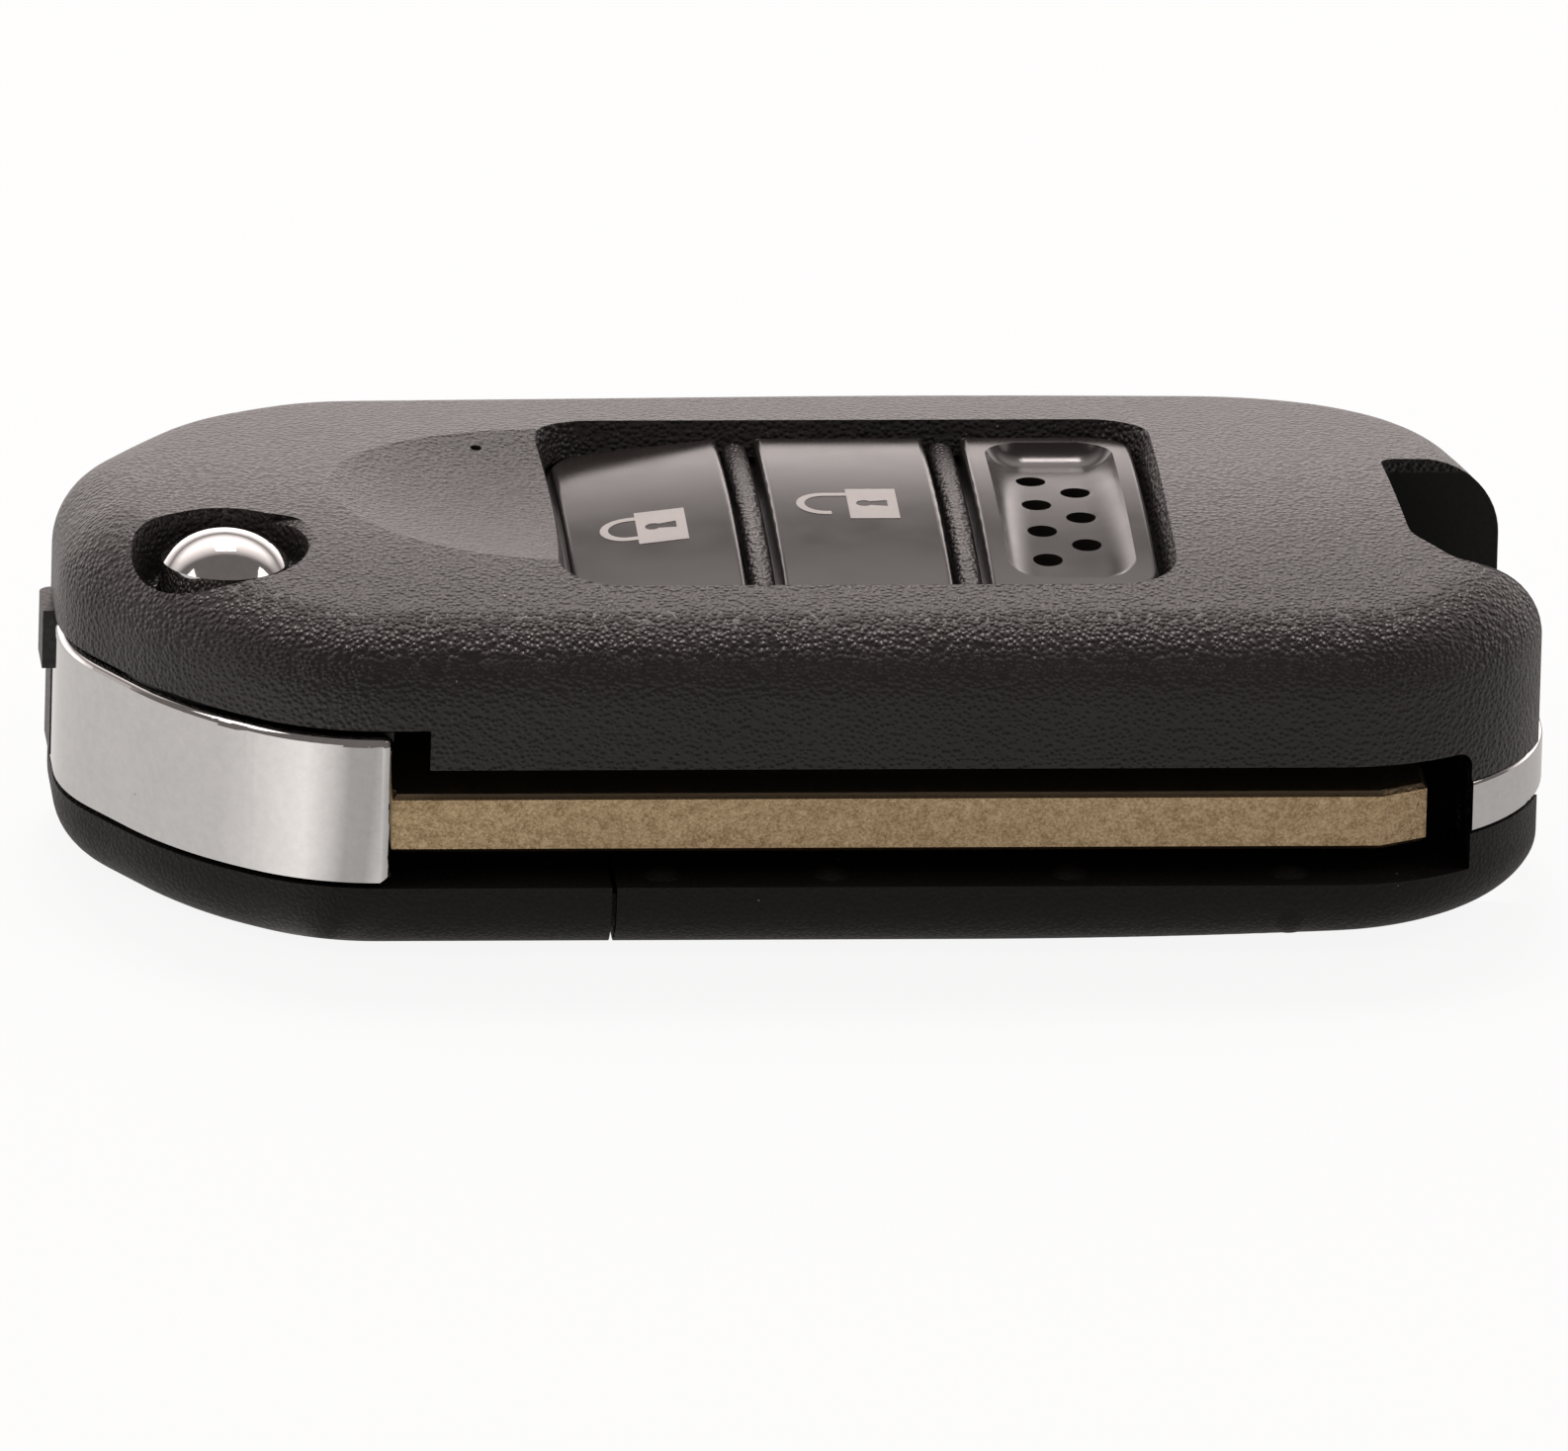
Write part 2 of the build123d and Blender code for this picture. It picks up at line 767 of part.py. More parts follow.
# Hub: the moulded body of the swinging head
with BuildPart() as blade_hub:
    with BuildSketch(Plane.XY.offset(head_base)):
        add(head_plan.sketch)
        add(collar_plan.sketch, mode=Mode.SUBTRACT)
    extrude(amount=head_height)
    horn_edges = blade_hub.edges().filter_by(Axis.Z).filter_by(
        lambda edge: edge.center().Y > horn_y - 0.1
    )
    fillet(horn_edges, radius=horn_corner_radius)

    # Lower half of the horn, stepped back for the thumb
    with BuildSketch(Plane.XY.offset(head_base)):
        with Locations((horn_x, horn_y)):
            Rectangle(
                2 * horn_step,
                horn_y - collar_end_y,
                align=(Align.CENTER, Align.MAX),
            )
    extrude(amount=head_height * horn_step_share, mode=Mode.SUBTRACT)

    # Neck and spigot, the bearings of the head
    with BuildSketch(Plane.XY.offset(head_top)):
        with Locations((pivot_x, pivot_y)):
            Circle(neck_radius)
    extrude(amount=neck_height)
    with BuildSketch(Plane.XY.offset(head_base)):
        with Locations((pivot_x, pivot_y)):
            Circle(spigot_radius)
    extrude(amount=-spigot_height)

    # Bore for the spring and the piston, keyed hole for the peg
    with BuildSketch(Plane.XY.offset(bore_floor)):
        with Locations((pivot_x, pivot_y)):
            Circle(bore_radius)
    extrude(amount=case_thickness, mode=Mode.SUBTRACT)
    with BuildSketch(Plane.XY):
        with Locations((pivot_x, pivot_y)):
            Rectangle(peg_width + 2 * peg_gap, peg_length + 2 * peg_gap)
    extrude(amount=case_thickness, mode=Mode.SUBTRACT)

    # Slot and pin hole for the tang of the blade
    with BuildSketch(Plane.XY.offset(blade_base_z - seat_gap / 2)):
        with Locations((head_right_x, tang_back_y + seat_gap / 2)):
            Rectangle(
                2 * (tang_length + seat_gap / 2),
                tang_width + seat_gap,
                align=(Align.CENTER, Align.MAX),
            )
    extrude(amount=blade_thickness + seat_gap, mode=Mode.SUBTRACT)
    with BuildSketch(Plane.XY.offset(head_base + roll_pin_inset)):
        with Locations((roll_pin_x, roll_pin_y)):
            Circle(roll_pin_radius + seat_gap / 4)
    extrude(amount=head_height, mode=Mode.SUBTRACT)
blade_hub.part.label = "blade_hub"
export_step(blade_hub.part, "parts/blade_hub.step")

# Chrome collar, the bright shell round the front of the head
with BuildPart() as chrome_collar:
    with BuildSketch(Plane.XY.offset(head_base)):
        add(case_plan())
    extrude(amount=head_height)
    fillet(chrome_collar.faces().sort_by(Axis.Z)[-1].edges(), radius=collar_edge_radius)

    # Only the band round the front of the head is left
    with BuildSketch(Plane.XY.offset(head_base)):
        add(collar_plan.sketch)
    extrude(amount=head_height, mode=Mode.INTERSECT)
    end_edges = chrome_collar.faces().sort_by(Axis.X)[-1].edges().filter_by(Axis.Y)
    fillet(end_edges, radius=collar_corner_radius)
chrome_collar.part.label = "chrome_collar"
export_step(chrome_collar.part, "parts/chrome_collar.step")

# Key blade, uncut, with its bevelled tip and its tang
with BuildPart() as key_blade:
    with BuildSketch(Plane.XY.offset(blade_base_z)):
        with BuildLine():
            Polyline(
                (head_right_x + seat_gap / 2, blade_front_y),
                (blade_tip_x - blade_tip_run, blade_front_y),
                (blade_tip_x, blade_front_y + blade_tip_rise),
                (blade_tip_x, blade_back_y - blade_back_rise),
                (blade_tip_x - blade_back_run, blade_back_y),
                (head_right_x + seat_gap / 2, blade_back_y),
                close=True,
            )
        make_face()
    extrude(amount=blade_thickness)
    long_edges = key_blade.edges().filter_by(Axis.Z, reverse=True)
    chamfer(long_edges, length=blade_edge_break)
    with BuildSketch(Plane.XY.offset(blade_base_z)):
        with Locations((head_right_x + 1, tang_back_y)):
            Rectangle(tang_length + 1, tang_width, align=(Align.MAX, Align.MAX))
    extrude(amount=blade_thickness)
    with BuildSketch(Plane.XY):
        with Locations((roll_pin_x, roll_pin_y)):
            Circle(roll_pin_radius + seat_gap / 4)
    extrude(amount=case_thickness, mode=Mode.SUBTRACT)
key_blade.part.label = "key_blade"
export_step(key_blade.part, "parts/key_blade.step")

# Roll pin through the head and the tang
with BuildPart() as roll_pin:
    with BuildSketch(Plane.XY.offset(head_base + roll_pin_inset)):
        with Locations((roll_pin_x, roll_pin_y)):
            Circle(roll_pin_radius)
            Circle(roll_pin_radius * 0.6, mode=Mode.SUBTRACT)
        with Locations((roll_pin_x, roll_pin_y)):
            Rectangle(
                roll_pin_radius * 2,
                roll_pin_radius * 0.4,
                align=(Align.MIN, Align.CENTER),
                mode=Mode.SUBTRACT,
            )
    extrude(amount=head_height - roll_pin_inset)
roll_pin.part.label = "roll_pin"
export_step(roll_pin.part, "parts/roll_pin.step")

# Release button: dome, flange, shank and the peg that keys it to the head
with BuildPart() as release_button:
    pivot_plane = Plane(origin=(pivot_x, pivot_y, 0), x_dir=(1, 0, 0), z_dir=(0, -1, 0))
    with BuildSketch(pivot_plane):
        with BuildLine():
            TangentArc((0, dome_rim_z + dome_height), (dome_radius, dome_rim_z), tangent=(1, 0))
            Polyline(
                (dome_radius, dome_rim_z),
                (dome_radius, piston_flange_top),
                (piston_flange_radius, piston_flange_top),
                (piston_flange_radius, piston_flange_base),
                (piston_shank_radius, piston_flange_base),
                (piston_shank_radius, piston_shank_base),
                (0, piston_shank_base),
                (0, dome_rim_z + dome_height),
            )
        make_face()
    revolve(axis=Axis((pivot_x, pivot_y, 0), (0, 0, 1)))
    with BuildSketch(Plane.XY.offset(head_base)):
        with Locations((pivot_x, pivot_y)):
            Rectangle(peg_width, peg_length)
    extrude(amount=piston_shank_base - head_base)
release_button.part.label = "release_button"
export_step(release_button.part, "parts/release_button.step")

# Flip spring, wound round the shank of the piston
with BuildPart() as flip_spring:
    with BuildLine(Plane(origin=(pivot_x, pivot_y, bore_floor + spring_wire_radius + 0.05))):
        coil = Helix(
            pitch=spring_rise / spring_turns, height=spring_rise, radius=spring_mean_radius
        )
    with BuildSketch(Plane(origin=coil @ 0, z_dir=coil % 0)):
        Circle(spring_wire_radius)
    sweep(path=coil, is_frenet=True)
flip_spring.part.label = "flip_spring"
export_step(flip_spring.part, "parts/flip_spring.step")


def push_pad(centre_x, tilt):
    """Push button with a crowned top, its left edge tipped down by tilt degrees"""
    end_drop = crown_drop(pad_depth)
    with BuildPart() as pad:
        with BuildSketch(Plane.XY.offset(pad_base)):
            add(pad_plan(centre_x))
        extrude(amount=case_thickness - pad_base)
        crown_plane = Plane(
            origin=(centre_x + pad_width / 2, 0, pad_top),
            x_dir=(0, 1, 0),
            z_dir=(cos(radians(tilt)), 0, sin(radians(tilt))),
        )
        with BuildSketch(crown_plane):
            with BuildLine():
                ThreePointArc((-pad_depth, -end_drop), (0, 0), (pad_depth, -end_drop))
                Polyline(
                    (pad_depth, -end_drop),
                    (pad_depth, -case_thickness),
                    (-pad_depth, -case_thickness),
                    (-pad_depth, -end_drop),
                )
            make_face()
        extrude(amount=2 * pad_width, both=True, mode=Mode.INTERSECT)
        fillet(pad.faces().sort_by(Axis.Z)[-1].edges(), radius=pad_edge_radius)
        with BuildSketch(Plane.XY.offset(pad_base)):
            add(pad_plan(centre_x, pad_flange))
        extrude(amount=pad_flange_height)
    return pad.part


# Lock and unlock buttons
with BuildPart() as lock_button:
    add(push_pad(pad_centres[0], pad_tilt))
lock_button.part.label = "lock_button"
export_step(lock_button.part, "parts/lock_button.step")

with BuildPart() as unlock_button:
    add(push_pad(pad_centres[1], 0))
unlock_button.part.label = "unlock_button"
export_step(unlock_button.part, "parts/unlock_button.step")

# Grip pad: the third place in the row, a fixed dished insert with dimples
grip_x = pad_centres[2]
with BuildPart() as grip_dish:
    with BuildSketch(Plane.XY.offset(pad_base)):
        with Locations((grip_x, pad_mid_y)):
            RectangleRounded(
                pad_width - 2 * grip_rim, pad_depth - 2 * grip_rim, grip_corner_radius
            )
    extrude(amount=case_thickness)
    add(under_crown(pad_top - grip_dish_depth), mode=Mode.SUBTRACT)
    fillet(grip_dish.faces().sort_by(Axis.Z)[0].edges(), radius=grip_dish_radius)

with BuildPart() as grip_pad:
    with BuildSketch(Plane.XY.offset(pad_base)):
        add(pad_plan(grip_x))
    extrude(amount=case_thickness - pad_base)
    add(under_crown(pad_top), mode=Mode.INTERSECT)
    fillet(grip_pad.faces().sort_by(Axis.Z)[-1].edges(), radius=pad_edge_radius)
    add(grip_dish.part, mode=Mode.SUBTRACT)
    with BuildSketch(Plane.XY.offset(pad_base)):
        add(pad_plan(grip_x, pad_flange))
    extrude(amount=pad_flange_height)
    for column, side in enumerate((-1, 1)):
        rows = 4 - column
        for row in range(rows):
            dimple_y = pad_mid_y + (row - (rows - 1) / 2) * dimple_pitch_y
            dimple_z = pad_top - grip_dish_depth - crown_drop(dimple_y)
            with Locations((grip_x + side * dimple_pitch_x / 2, dimple_y, dimple_z)):
                Cylinder(dimple_radius, 2 * dimple_depth, mode=Mode.SUBTRACT)
grip_pad.part.label = "grip_pad"
export_step(grip_pad.part, "parts/grip_pad.step")

# Rubber membrane under the buttons
with BuildPart() as keypad_membrane:
    with BuildSketch(Plane.XY.offset(board_top)):
        add(row_plan(membrane_rim))
    extrude(amount=membrane_top - board_top)
    with BuildSketch(Plane.XY.offset(board_top)):
        add(row_plan())
    extrude(amount=membrane_base - board_top, mode=Mode.SUBTRACT)
    for centre_x in pad_centres[:2]:
        with BuildSketch(Plane.XY.offset(membrane_top)):
            with Locations((centre_x, pad_mid_y)):
                Circle(membrane_dome_radius)
        extrude(amount=membrane_dome_height, taper=20)
keypad_membrane.part.label = "keypad_membrane"
export_step(keypad_membrane.part, "parts/keypad_membrane.step")

# Circuit board on the inner frame
with BuildPart() as circuit_board:
    with BuildSketch(Plane.XY.offset(board_base)):
        add(inner_plan(board_gap))
    extrude(amount=board_thickness)
circuit_board.part.label = "circuit_board"
export_step(circuit_board.part, "parts/circuit_board.step")

# Key switches, one under each push button
with BuildPart() as key_switches:
    for centre_x in pad_centres[:2]:
        with BuildSketch(Plane.XY.offset(board_top)):
            with Locations((centre_x, pad_mid_y)):
                RectangleRounded(switch_size, switch_size, switch_size / 12)
        extrude(amount=switch_height)
        with BuildSketch(Plane.XY.offset(board_top + switch_height)):
            with Locations((centre_x, pad_mid_y)):
                Circle(plunger_radius)
        extrude(amount=plunger_height)
key_switches.part.label = "key_switches"
export_step(key_switches.part, "parts/key_switches.step")

# Status light under its pinhole
with BuildPart() as status_light:
    with BuildSketch(Plane.XY.offset(board_top)):
        with Locations((light_x, light_y)):
            Circle(light_radius)
    extrude(amount=light_height)
    fillet(status_light.faces().sort_by(Axis.Z)[-1].edges(), radius=light_radius * 0.8)
status_light.part.label = "status_light"
export_step(status_light.part, "parts/status_light.step")

# Control chip under the board, above the battery
with BuildPart() as control_chip:
    with BuildSketch(Plane.XY.offset(board_base)):
        with Locations((battery_x, battery_y)):
            Rectangle(chip_size, chip_size)
    extrude(amount=-chip_height)
    chamfer(control_chip.faces().sort_by(Axis.Z)[0].edges(), length=chip_height / 4)
control_chip.part.label = "control_chip"
export_step(control_chip.part, "parts/control_chip.step")

# Coin battery, its smaller pole downwards
with BuildPart() as coin_battery:
    with BuildSketch(Plane.XY.offset(battery_base)):
        with Locations((battery_x, battery_y)):
            Circle(battery_cap_radius)
    extrude(amount=battery_cap_height)
    with BuildSketch(Plane.XY.offset(battery_base + battery_cap_height)):
        with Locations((battery_x, battery_y)):
            Circle(battery_radius)
    extrude(amount=battery_thickness - battery_cap_height)
    fillet(coin_battery.faces().sort_by(Axis.Z)[-1].edges(), radius=battery_cap_height)
coin_battery.part.label = "coin_battery"
export_step(coin_battery.part, "parts/coin_battery.step")


def battery_contact(leg_x, leaf_end_x, leaf_z):
    """Bent strip: a leg down from the board and a leaf along the battery"""
    with BuildPart() as contact:
        with BuildSketch(Plane.XZ.offset(-battery_y - contact_width / 2)):
            with BuildLine():
                FilletPolyline(
                    (leg_x, board_base - contact_thickness / 2),
                    (leg_x, leaf_z),
                    (leaf_end_x, leaf_z),
                    radius=3 * contact_thickness,
                )
                offset(amount=contact_thickness / 2, side=Side.BOTH)
            make_face()
        extrude(amount=contact_width)
    return contact.part


# Battery contacts, from the board to the two poles
with BuildPart() as lower_contact:
    add(
        battery_contact(
            battery_x - battery_radius - battery_gap,
            battery_x,
            battery_base - contact_thickness / 2,
        )
    )
lower_contact.part.label = "lower_contact"
export_step(lower_contact.part, "parts/lower_contact.step")

with BuildPart() as upper_contact:
    add(
        battery_contact(
            battery_x + battery_radius + battery_gap,
            battery_x,
            battery_base + battery_thickness + contact_thickness / 2,
        )
    )
upper_contact.part.label = "upper_contact"
export_step(upper_contact.part, "parts/upper_contact.step")

# Transponder chip in the rear cover
with BuildPart() as transponder_chip:
    with BuildSketch(Plane.XY.offset(cover_floor)):
        with Locations((transponder_x, transponder_y)):
            RectangleRounded(transponder_width, transponder_length, transponder_width / 7)
    extrude(amount=transponder_height)
transponder_chip.part.label = "transponder_chip"
export_step(transponder_chip.part, "parts/transponder_chip.step")

# Case screws, one through each cover
with BuildPart() as case_screws:
    for place in screw_places:
        with BuildSketch(
            Plane(origin=(place[0], place[1], 0), x_dir=(1, 0, 0), z_dir=(0, -1, 0))
        ):
            with BuildLine():
                Polyline(
                    (0, screw_sink),
                    (screw_head_radius, screw_sink),
                    (thread_radius, screw_sink + screw_head_radius - thread_radius),
                    (thread_radius, slot_top - screw_tip_drop - thread_radius / 2),
                    (0, slot_top - screw_tip_drop),
                    close=True,
                )
            make_face()
        revolve(axis=Axis((place[0], place[1], 0), (0, 0, 1)))
        with BuildSketch(Plane.XY.offset(screw_sink)):
            with Locations(place):
                Rectangle(screw_head_radius * 1.1, screw_head_radius * 0.3)
                Rectangle(screw_head_radius * 0.3, screw_head_radius * 1.1)
        extrude(amount=screw_head_radius * 0.4, mode=Mode.SUBTRACT)
case_screws.part.label = "case_screws"
export_step(case_screws.part, "parts/case_screws.step")
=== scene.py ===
import json
import math

import bmesh
import bpy
from mathutils import Matrix, Vector
from mathutils.bvhtree import BVHTree


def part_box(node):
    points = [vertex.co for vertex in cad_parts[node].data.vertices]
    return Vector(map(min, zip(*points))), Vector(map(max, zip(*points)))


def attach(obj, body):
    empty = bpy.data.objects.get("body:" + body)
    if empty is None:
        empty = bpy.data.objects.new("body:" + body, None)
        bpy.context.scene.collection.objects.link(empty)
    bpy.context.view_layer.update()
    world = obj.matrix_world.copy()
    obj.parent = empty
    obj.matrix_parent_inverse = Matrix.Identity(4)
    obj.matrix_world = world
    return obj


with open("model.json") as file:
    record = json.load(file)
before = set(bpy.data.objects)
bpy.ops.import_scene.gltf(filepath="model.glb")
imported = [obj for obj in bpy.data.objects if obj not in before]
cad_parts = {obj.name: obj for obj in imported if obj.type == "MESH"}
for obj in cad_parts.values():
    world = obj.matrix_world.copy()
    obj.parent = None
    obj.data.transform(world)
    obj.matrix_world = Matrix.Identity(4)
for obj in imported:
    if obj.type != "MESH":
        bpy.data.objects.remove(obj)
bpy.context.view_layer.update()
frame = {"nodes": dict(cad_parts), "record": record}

MM = 0.001

# Photograph: its size in pixels, its scale, and the pixel that the origin falls on
PHOTO_WIDTH = 1586
PHOTO_HEIGHT = 1468
PIXELS_PER_MM = 20.1
ORIGIN_PIXEL = (790.3, 834.3)

# Camera: angles in degrees, distances in metres, sensor in millimetres
CAMERA_AZIMUTH = -5.0
CAMERA_ELEVATION = 20.5
CAMERA_ROLL = 1.55
CAMERA_DISTANCE = 3.1
CAMERA_NEAR = 0.1
CAMERA_FAR = 30.0
SENSOR_WIDTH = 36.0


# Node trees


def add_node(tree, kind, inputs=None, **settings):
    """A node with its settings, and its inputs set to values or linked to sockets"""
    made = tree.nodes.new(kind)
    for name, value in settings.items():
        setattr(made, name, value)
    for name, value in (inputs or {}).items():
        if isinstance(value, bpy.types.NodeSocket):
            tree.links.new(value, made.inputs[name])
        else:
            made.inputs[name].default_value = value
    return made


def maths(tree, operation, *values, clamp=False):
    """Output of a Math node"""
    numbered = dict(enumerate(values))
    made = add_node(tree, "ShaderNodeMath", numbered, operation=operation, use_clamp=clamp)
    return made.outputs[0]


def remap(tree, value, low, high, to_low=0.0, to_high=1.0):
    """Value stretched from low..high to to_low..to_high, and held inside them"""
    inputs = {
        "Value": value,
        "From Min": low,
        "From Max": high,
        "To Min": to_low,
        "To Max": to_high,
    }
    return add_node(tree, "ShaderNodeMapRange", inputs).outputs["Result"]


def mix_value(tree, share, first, second):
    """Number between first and second"""
    inputs = {0: share, 2: first, 3: second}
    return add_node(tree, "ShaderNodeMix", inputs, data_type="FLOAT").outputs[0]


def mix_colour(tree, share, first, second):
    """Colour between first and second"""
    inputs = {0: share, 6: first, 7: second}
    return add_node(tree, "ShaderNodeMix", inputs, data_type="RGBA").outputs[2]


def split_axes(tree, vector):
    """X, Y and Z outputs of a vector"""
    return add_node(tree, "ShaderNodeSeparateXYZ", {0: vector}).outputs


def new_group(name, inputs, outputs):
    """Shader node group with named inputs and outputs, and its two end nodes"""
    tree = bpy.data.node_groups.new(name, "ShaderNodeTree")
    for socket, (kind, value) in inputs.items():
        made = tree.interface.new_socket(socket, in_out="INPUT", socket_type=kind)
        if value is not None:
            made.default_value = value
    for socket, kind in outputs.items():
        tree.interface.new_socket(socket, in_out="OUTPUT", socket_type=kind)
    return tree, tree.nodes.new("NodeGroupInput"), tree.nodes.new("NodeGroupOutput")


# Surface effects that several finishes share. Ranges of a texture's output are (low, high).

PEBBLE_DOME = (0.1, 0.75)
PEBBLE_ROUGHENING = 0.5
PLASTIC_TONE_BAND = (0.3, 0.7)
METAL_TONE_BAND = (0.50, 0.86)
BLOTCH_DENSITY = 0.22
BLOTCH_SHARE = 0.35


def moulded_grain_group():
    """Pebbled grain of a spark-eroded mould: its height, and a slow change of tone"""
    tree, ins, outs = new_group(
        "Moulded grain",
        {
            "Vector": ("NodeSocketVector", None),
            "Pebble Size": ("NodeSocketFloat", 0.3 * MM),
            "Tone Size": ("NodeSocketFloat", 6.0 * MM),
        },
        {"Height": "NodeSocketFloat", "Tone": "NodeSocketFloat"},
    )
    density = maths(tree, "DIVIDE", 1.0, ins.outputs["Pebble Size"])
    pebbles = add_node(
        tree,
        "ShaderNodeTexVoronoi",
        {"Vector": ins.outputs["Vector"], "Scale": density},
    )
    rough = add_node(
        tree,
        "ShaderNodeTexNoise",
        {"Vector": ins.outputs["Vector"], "Scale": density, "Detail": 3.0, "Roughness": 0.6},
    )
    domes = remap(tree, pebbles.outputs["Distance"], *PEBBLE_DOME, 1.0, 0.0)
    height = maths(tree, "MULTIPLY_ADD", rough.outputs["Fac"], PEBBLE_ROUGHENING, domes)
    slow = add_node(
        tree,
        "ShaderNodeTexNoise",
        {
            "Vector": ins.outputs["Vector"],
            "Scale": maths(tree, "DIVIDE", 1.0, ins.outputs["Tone Size"]),
            "Detail": 4.0,
        },
    )
    tree.links.new(height, outs.inputs["Height"])
    tree.links.new(remap(tree, slow.outputs["Fac"], *PLASTIC_TONE_BAND), outs.inputs["Tone"])
    return tree


def dust_group():
    """Sparse specks of dust: 1 on a speck and 0 elsewhere"""
    tree, ins, outs = new_group(
        "Dust",
        {
            "Vector": ("NodeSocketVector", None),
            "Spacing": ("NodeSocketFloat", 1.4 * MM),
            "Speck Size": ("NodeSocketFloat", 0.04),
            "Share": ("NodeSocketFloat", 0.25),
        },
        {"Speck": "NodeSocketFloat"},
    )
    cells = add_node(
        tree,
        "ShaderNodeTexVoronoi",
        {
            "Vector": ins.outputs["Vector"],
            "Scale": maths(tree, "DIVIDE", 1.0, ins.outputs["Spacing"]),
        },
    )
    near = maths(tree, "LESS_THAN", cells.outputs["Distance"], ins.outputs["Speck Size"])
    picked = add_node(tree, "ShaderNodeSeparateColor", {"Color": cells.outputs["Color"]})
    chosen = maths(tree, "LESS_THAN", picked.outputs[0], ins.outputs["Share"])
    tree.links.new(maths(tree, "MULTIPLY", near, chosen), outs.inputs["Speck"])
    return tree


def metal_grain_group():
    """Fine crystals of a metal surface: their height, and the change of tone over them"""
    tree, ins, outs = new_group(
        "Metal grain",
        {
            "Vector": ("NodeSocketVector", None),
            "Grain Size": ("NodeSocketFloat", 0.2 * MM),
            "Stretch": ("NodeSocketVector", (1.0, 1.0, 1.0)),
        },
        {"Height": "NodeSocketFloat", "Tone": "NodeSocketFloat"},
    )
    drawn = add_node(
        tree,
        "ShaderNodeVectorMath",
        {0: ins.outputs["Vector"], 1: ins.outputs["Stretch"]},
        operation="MULTIPLY",
    )
    density = maths(tree, "DIVIDE", 1.0, ins.outputs["Grain Size"])
    fine = add_node(
        tree,
        "ShaderNodeTexNoise",
        {"Vector": drawn.outputs[0], "Scale": density, "Detail": 4.0, "Roughness": 0.7},
    )
    blotches = add_node(
        tree,
        "ShaderNodeTexNoise",
        {
            "Vector": drawn.outputs[0],
            "Scale": maths(tree, "MULTIPLY", density, BLOTCH_DENSITY),
            "Detail": 3.0,
        },
    )
    crystals = fine.outputs["Fac"]
    both = maths(tree, "MULTIPLY_ADD", blotches.outputs["Fac"], BLOTCH_SHARE, crystals)
    tree.links.new(crystals, outs.inputs["Height"])
    tree.links.new(remap(tree, both, *METAL_TONE_BAND), outs.inputs["Tone"])
    return tree


moulded_grain = moulded_grain_group()
dust = dust_group()
metal_grain = metal_grain_group()


# Finishes. Sizes and depths are in mm, colours are linear red, green and blue.

# Heights of the grain between which a plastic goes from rougher valleys to smoother tops
GRAIN_HEIGHTS = (0.3, 1.5)
GRAIN_SHEEN = 0.08
DUST_TONE = (0.35, 0.34, 0.33)

# Walls of the key-ring notch in the shell: box round them, its soft rim, the near-black
# painted shade laid on them, and the roughness added there
NOTCH_BOX = ((29.75, -10.95, -1.0), (38.0, 2.75, 17.8))
NOTCH_RIM = 0.1
NOTCH_PAINTED_SHADE = (0.004, 0.0038, 0.0036)
NOTCH_ROUGHENING = 0.25

# Gloss plastic: waves left by the mould, dust, and how far its tone and roughness change
GLOSS_WAVE_SIZE = 2.5
GLOSS_TONE_SIZE = 3.0
GLOSS_WAVE_DEPTH = 0.0012
GLOSS_DUST_SHARE = 0.06
GLOSS_DUST_SPACING = 1.1
GLOSS_DUST_TONE = (0.3, 0.29, 0.28)
GLOSS_TONE_RISE = 1.25
GLOSS_ROUGHNESS_RISE = 1.4

# Chrome: scuffs, pits, and its range of tone and roughness
CHROME_DARK = (0.59, 0.585, 0.577)
CHROME_LIGHT = (0.645, 0.638, 0.628)
CHROME_ROUGHNESS = (0.045, 0.08)
CHROME_GRAIN_SIZE = 0.5
CHROME_GRAIN_DEPTH = 0.0006
PIT_SHARE = 0.12
PIT_SPACING = 1.2
PIT_TONE = (0.25, 0.24, 0.23)

# Blade: sandy face, a painted highlight along the upper edge, and ridges on the sheared bevel
# of the tip
BLADE_DARK = (0.33, 0.225, 0.115)
BLADE_LIGHT = (0.68, 0.52, 0.32)
BLADE_EDGE_HIGHLIGHT = (0.78, 0.62, 0.42)
BLADE_ROUGHNESS = (0.5, 0.36)
BLADE_GRAIN_SIZE = 0.11
BLADE_GRAIN_STRETCH = (0.8, 1.0, 1.0)
BLADE_GRAIN_DEPTH = 0.012
BLADE_HIGHLIGHT_DEPTH = (0.16, 0.06)
TIP_RUN = (2.6, 2.2)
RIDGE_SIZE = 0.45
RIDGE_HEIGHT = 9.0

# Plain metals
METAL_GRAIN_SIZE = 0.3
METAL_GRAIN_DEPTH = 0.004
METAL_ROUGHNESS_SPAN = 0.12

# Printed ink of the signs
INK_DARK = (0.40, 0.385, 0.37)
INK_LIGHT = (0.47, 0.455, 0.435)
INK_ROUGHNESS = (0.5, 0.4)
INK_GRAIN_SIZE = 0.25
INK_GRAIN_DEPTH = 0.002

# Slot: dark tone, light tone, roughness, pebble size, pebble depth, specular level
MOULDED_PLASTICS = {
    "shell_plastic": (
        (0.021, 0.0182, 0.0172), (0.029, 0.0252, 0.0238), 0.31, 0.27, 0.08, 0.45,
    ),
    "cover_plastic": (
        (0.009, 0.0083, 0.008), (0.012, 0.011, 0.0105), 0.48, 0.22, 0.03, 0.25,
    ),
    "frame_plastic": (
        (0.005, 0.0048, 0.0045), (0.007, 0.0067, 0.0062), 0.45, 0.3, 0.008, 0.2,
    ),
    "hub_plastic": (
        (0.008, 0.008, 0.0078), (0.011, 0.011, 0.0105), 0.42, 0.3, 0.01, 0.5,
    ),
    "membrane_rubber": (
        (0.08, 0.08, 0.08), (0.11, 0.11, 0.11), 0.65, 0.3, 0.01, 0.5,
    ),
    "chip_plastic": (
        (0.012, 0.012, 0.013), (0.018, 0.018, 0.019), 0.55, 0.15, 0.01, 0.5,
    ),
    "board": (
        (0.012, 0.09, 0.035), (0.02, 0.13, 0.05), 0.35, 1.0, 0.01, 0.5,
    ),
}
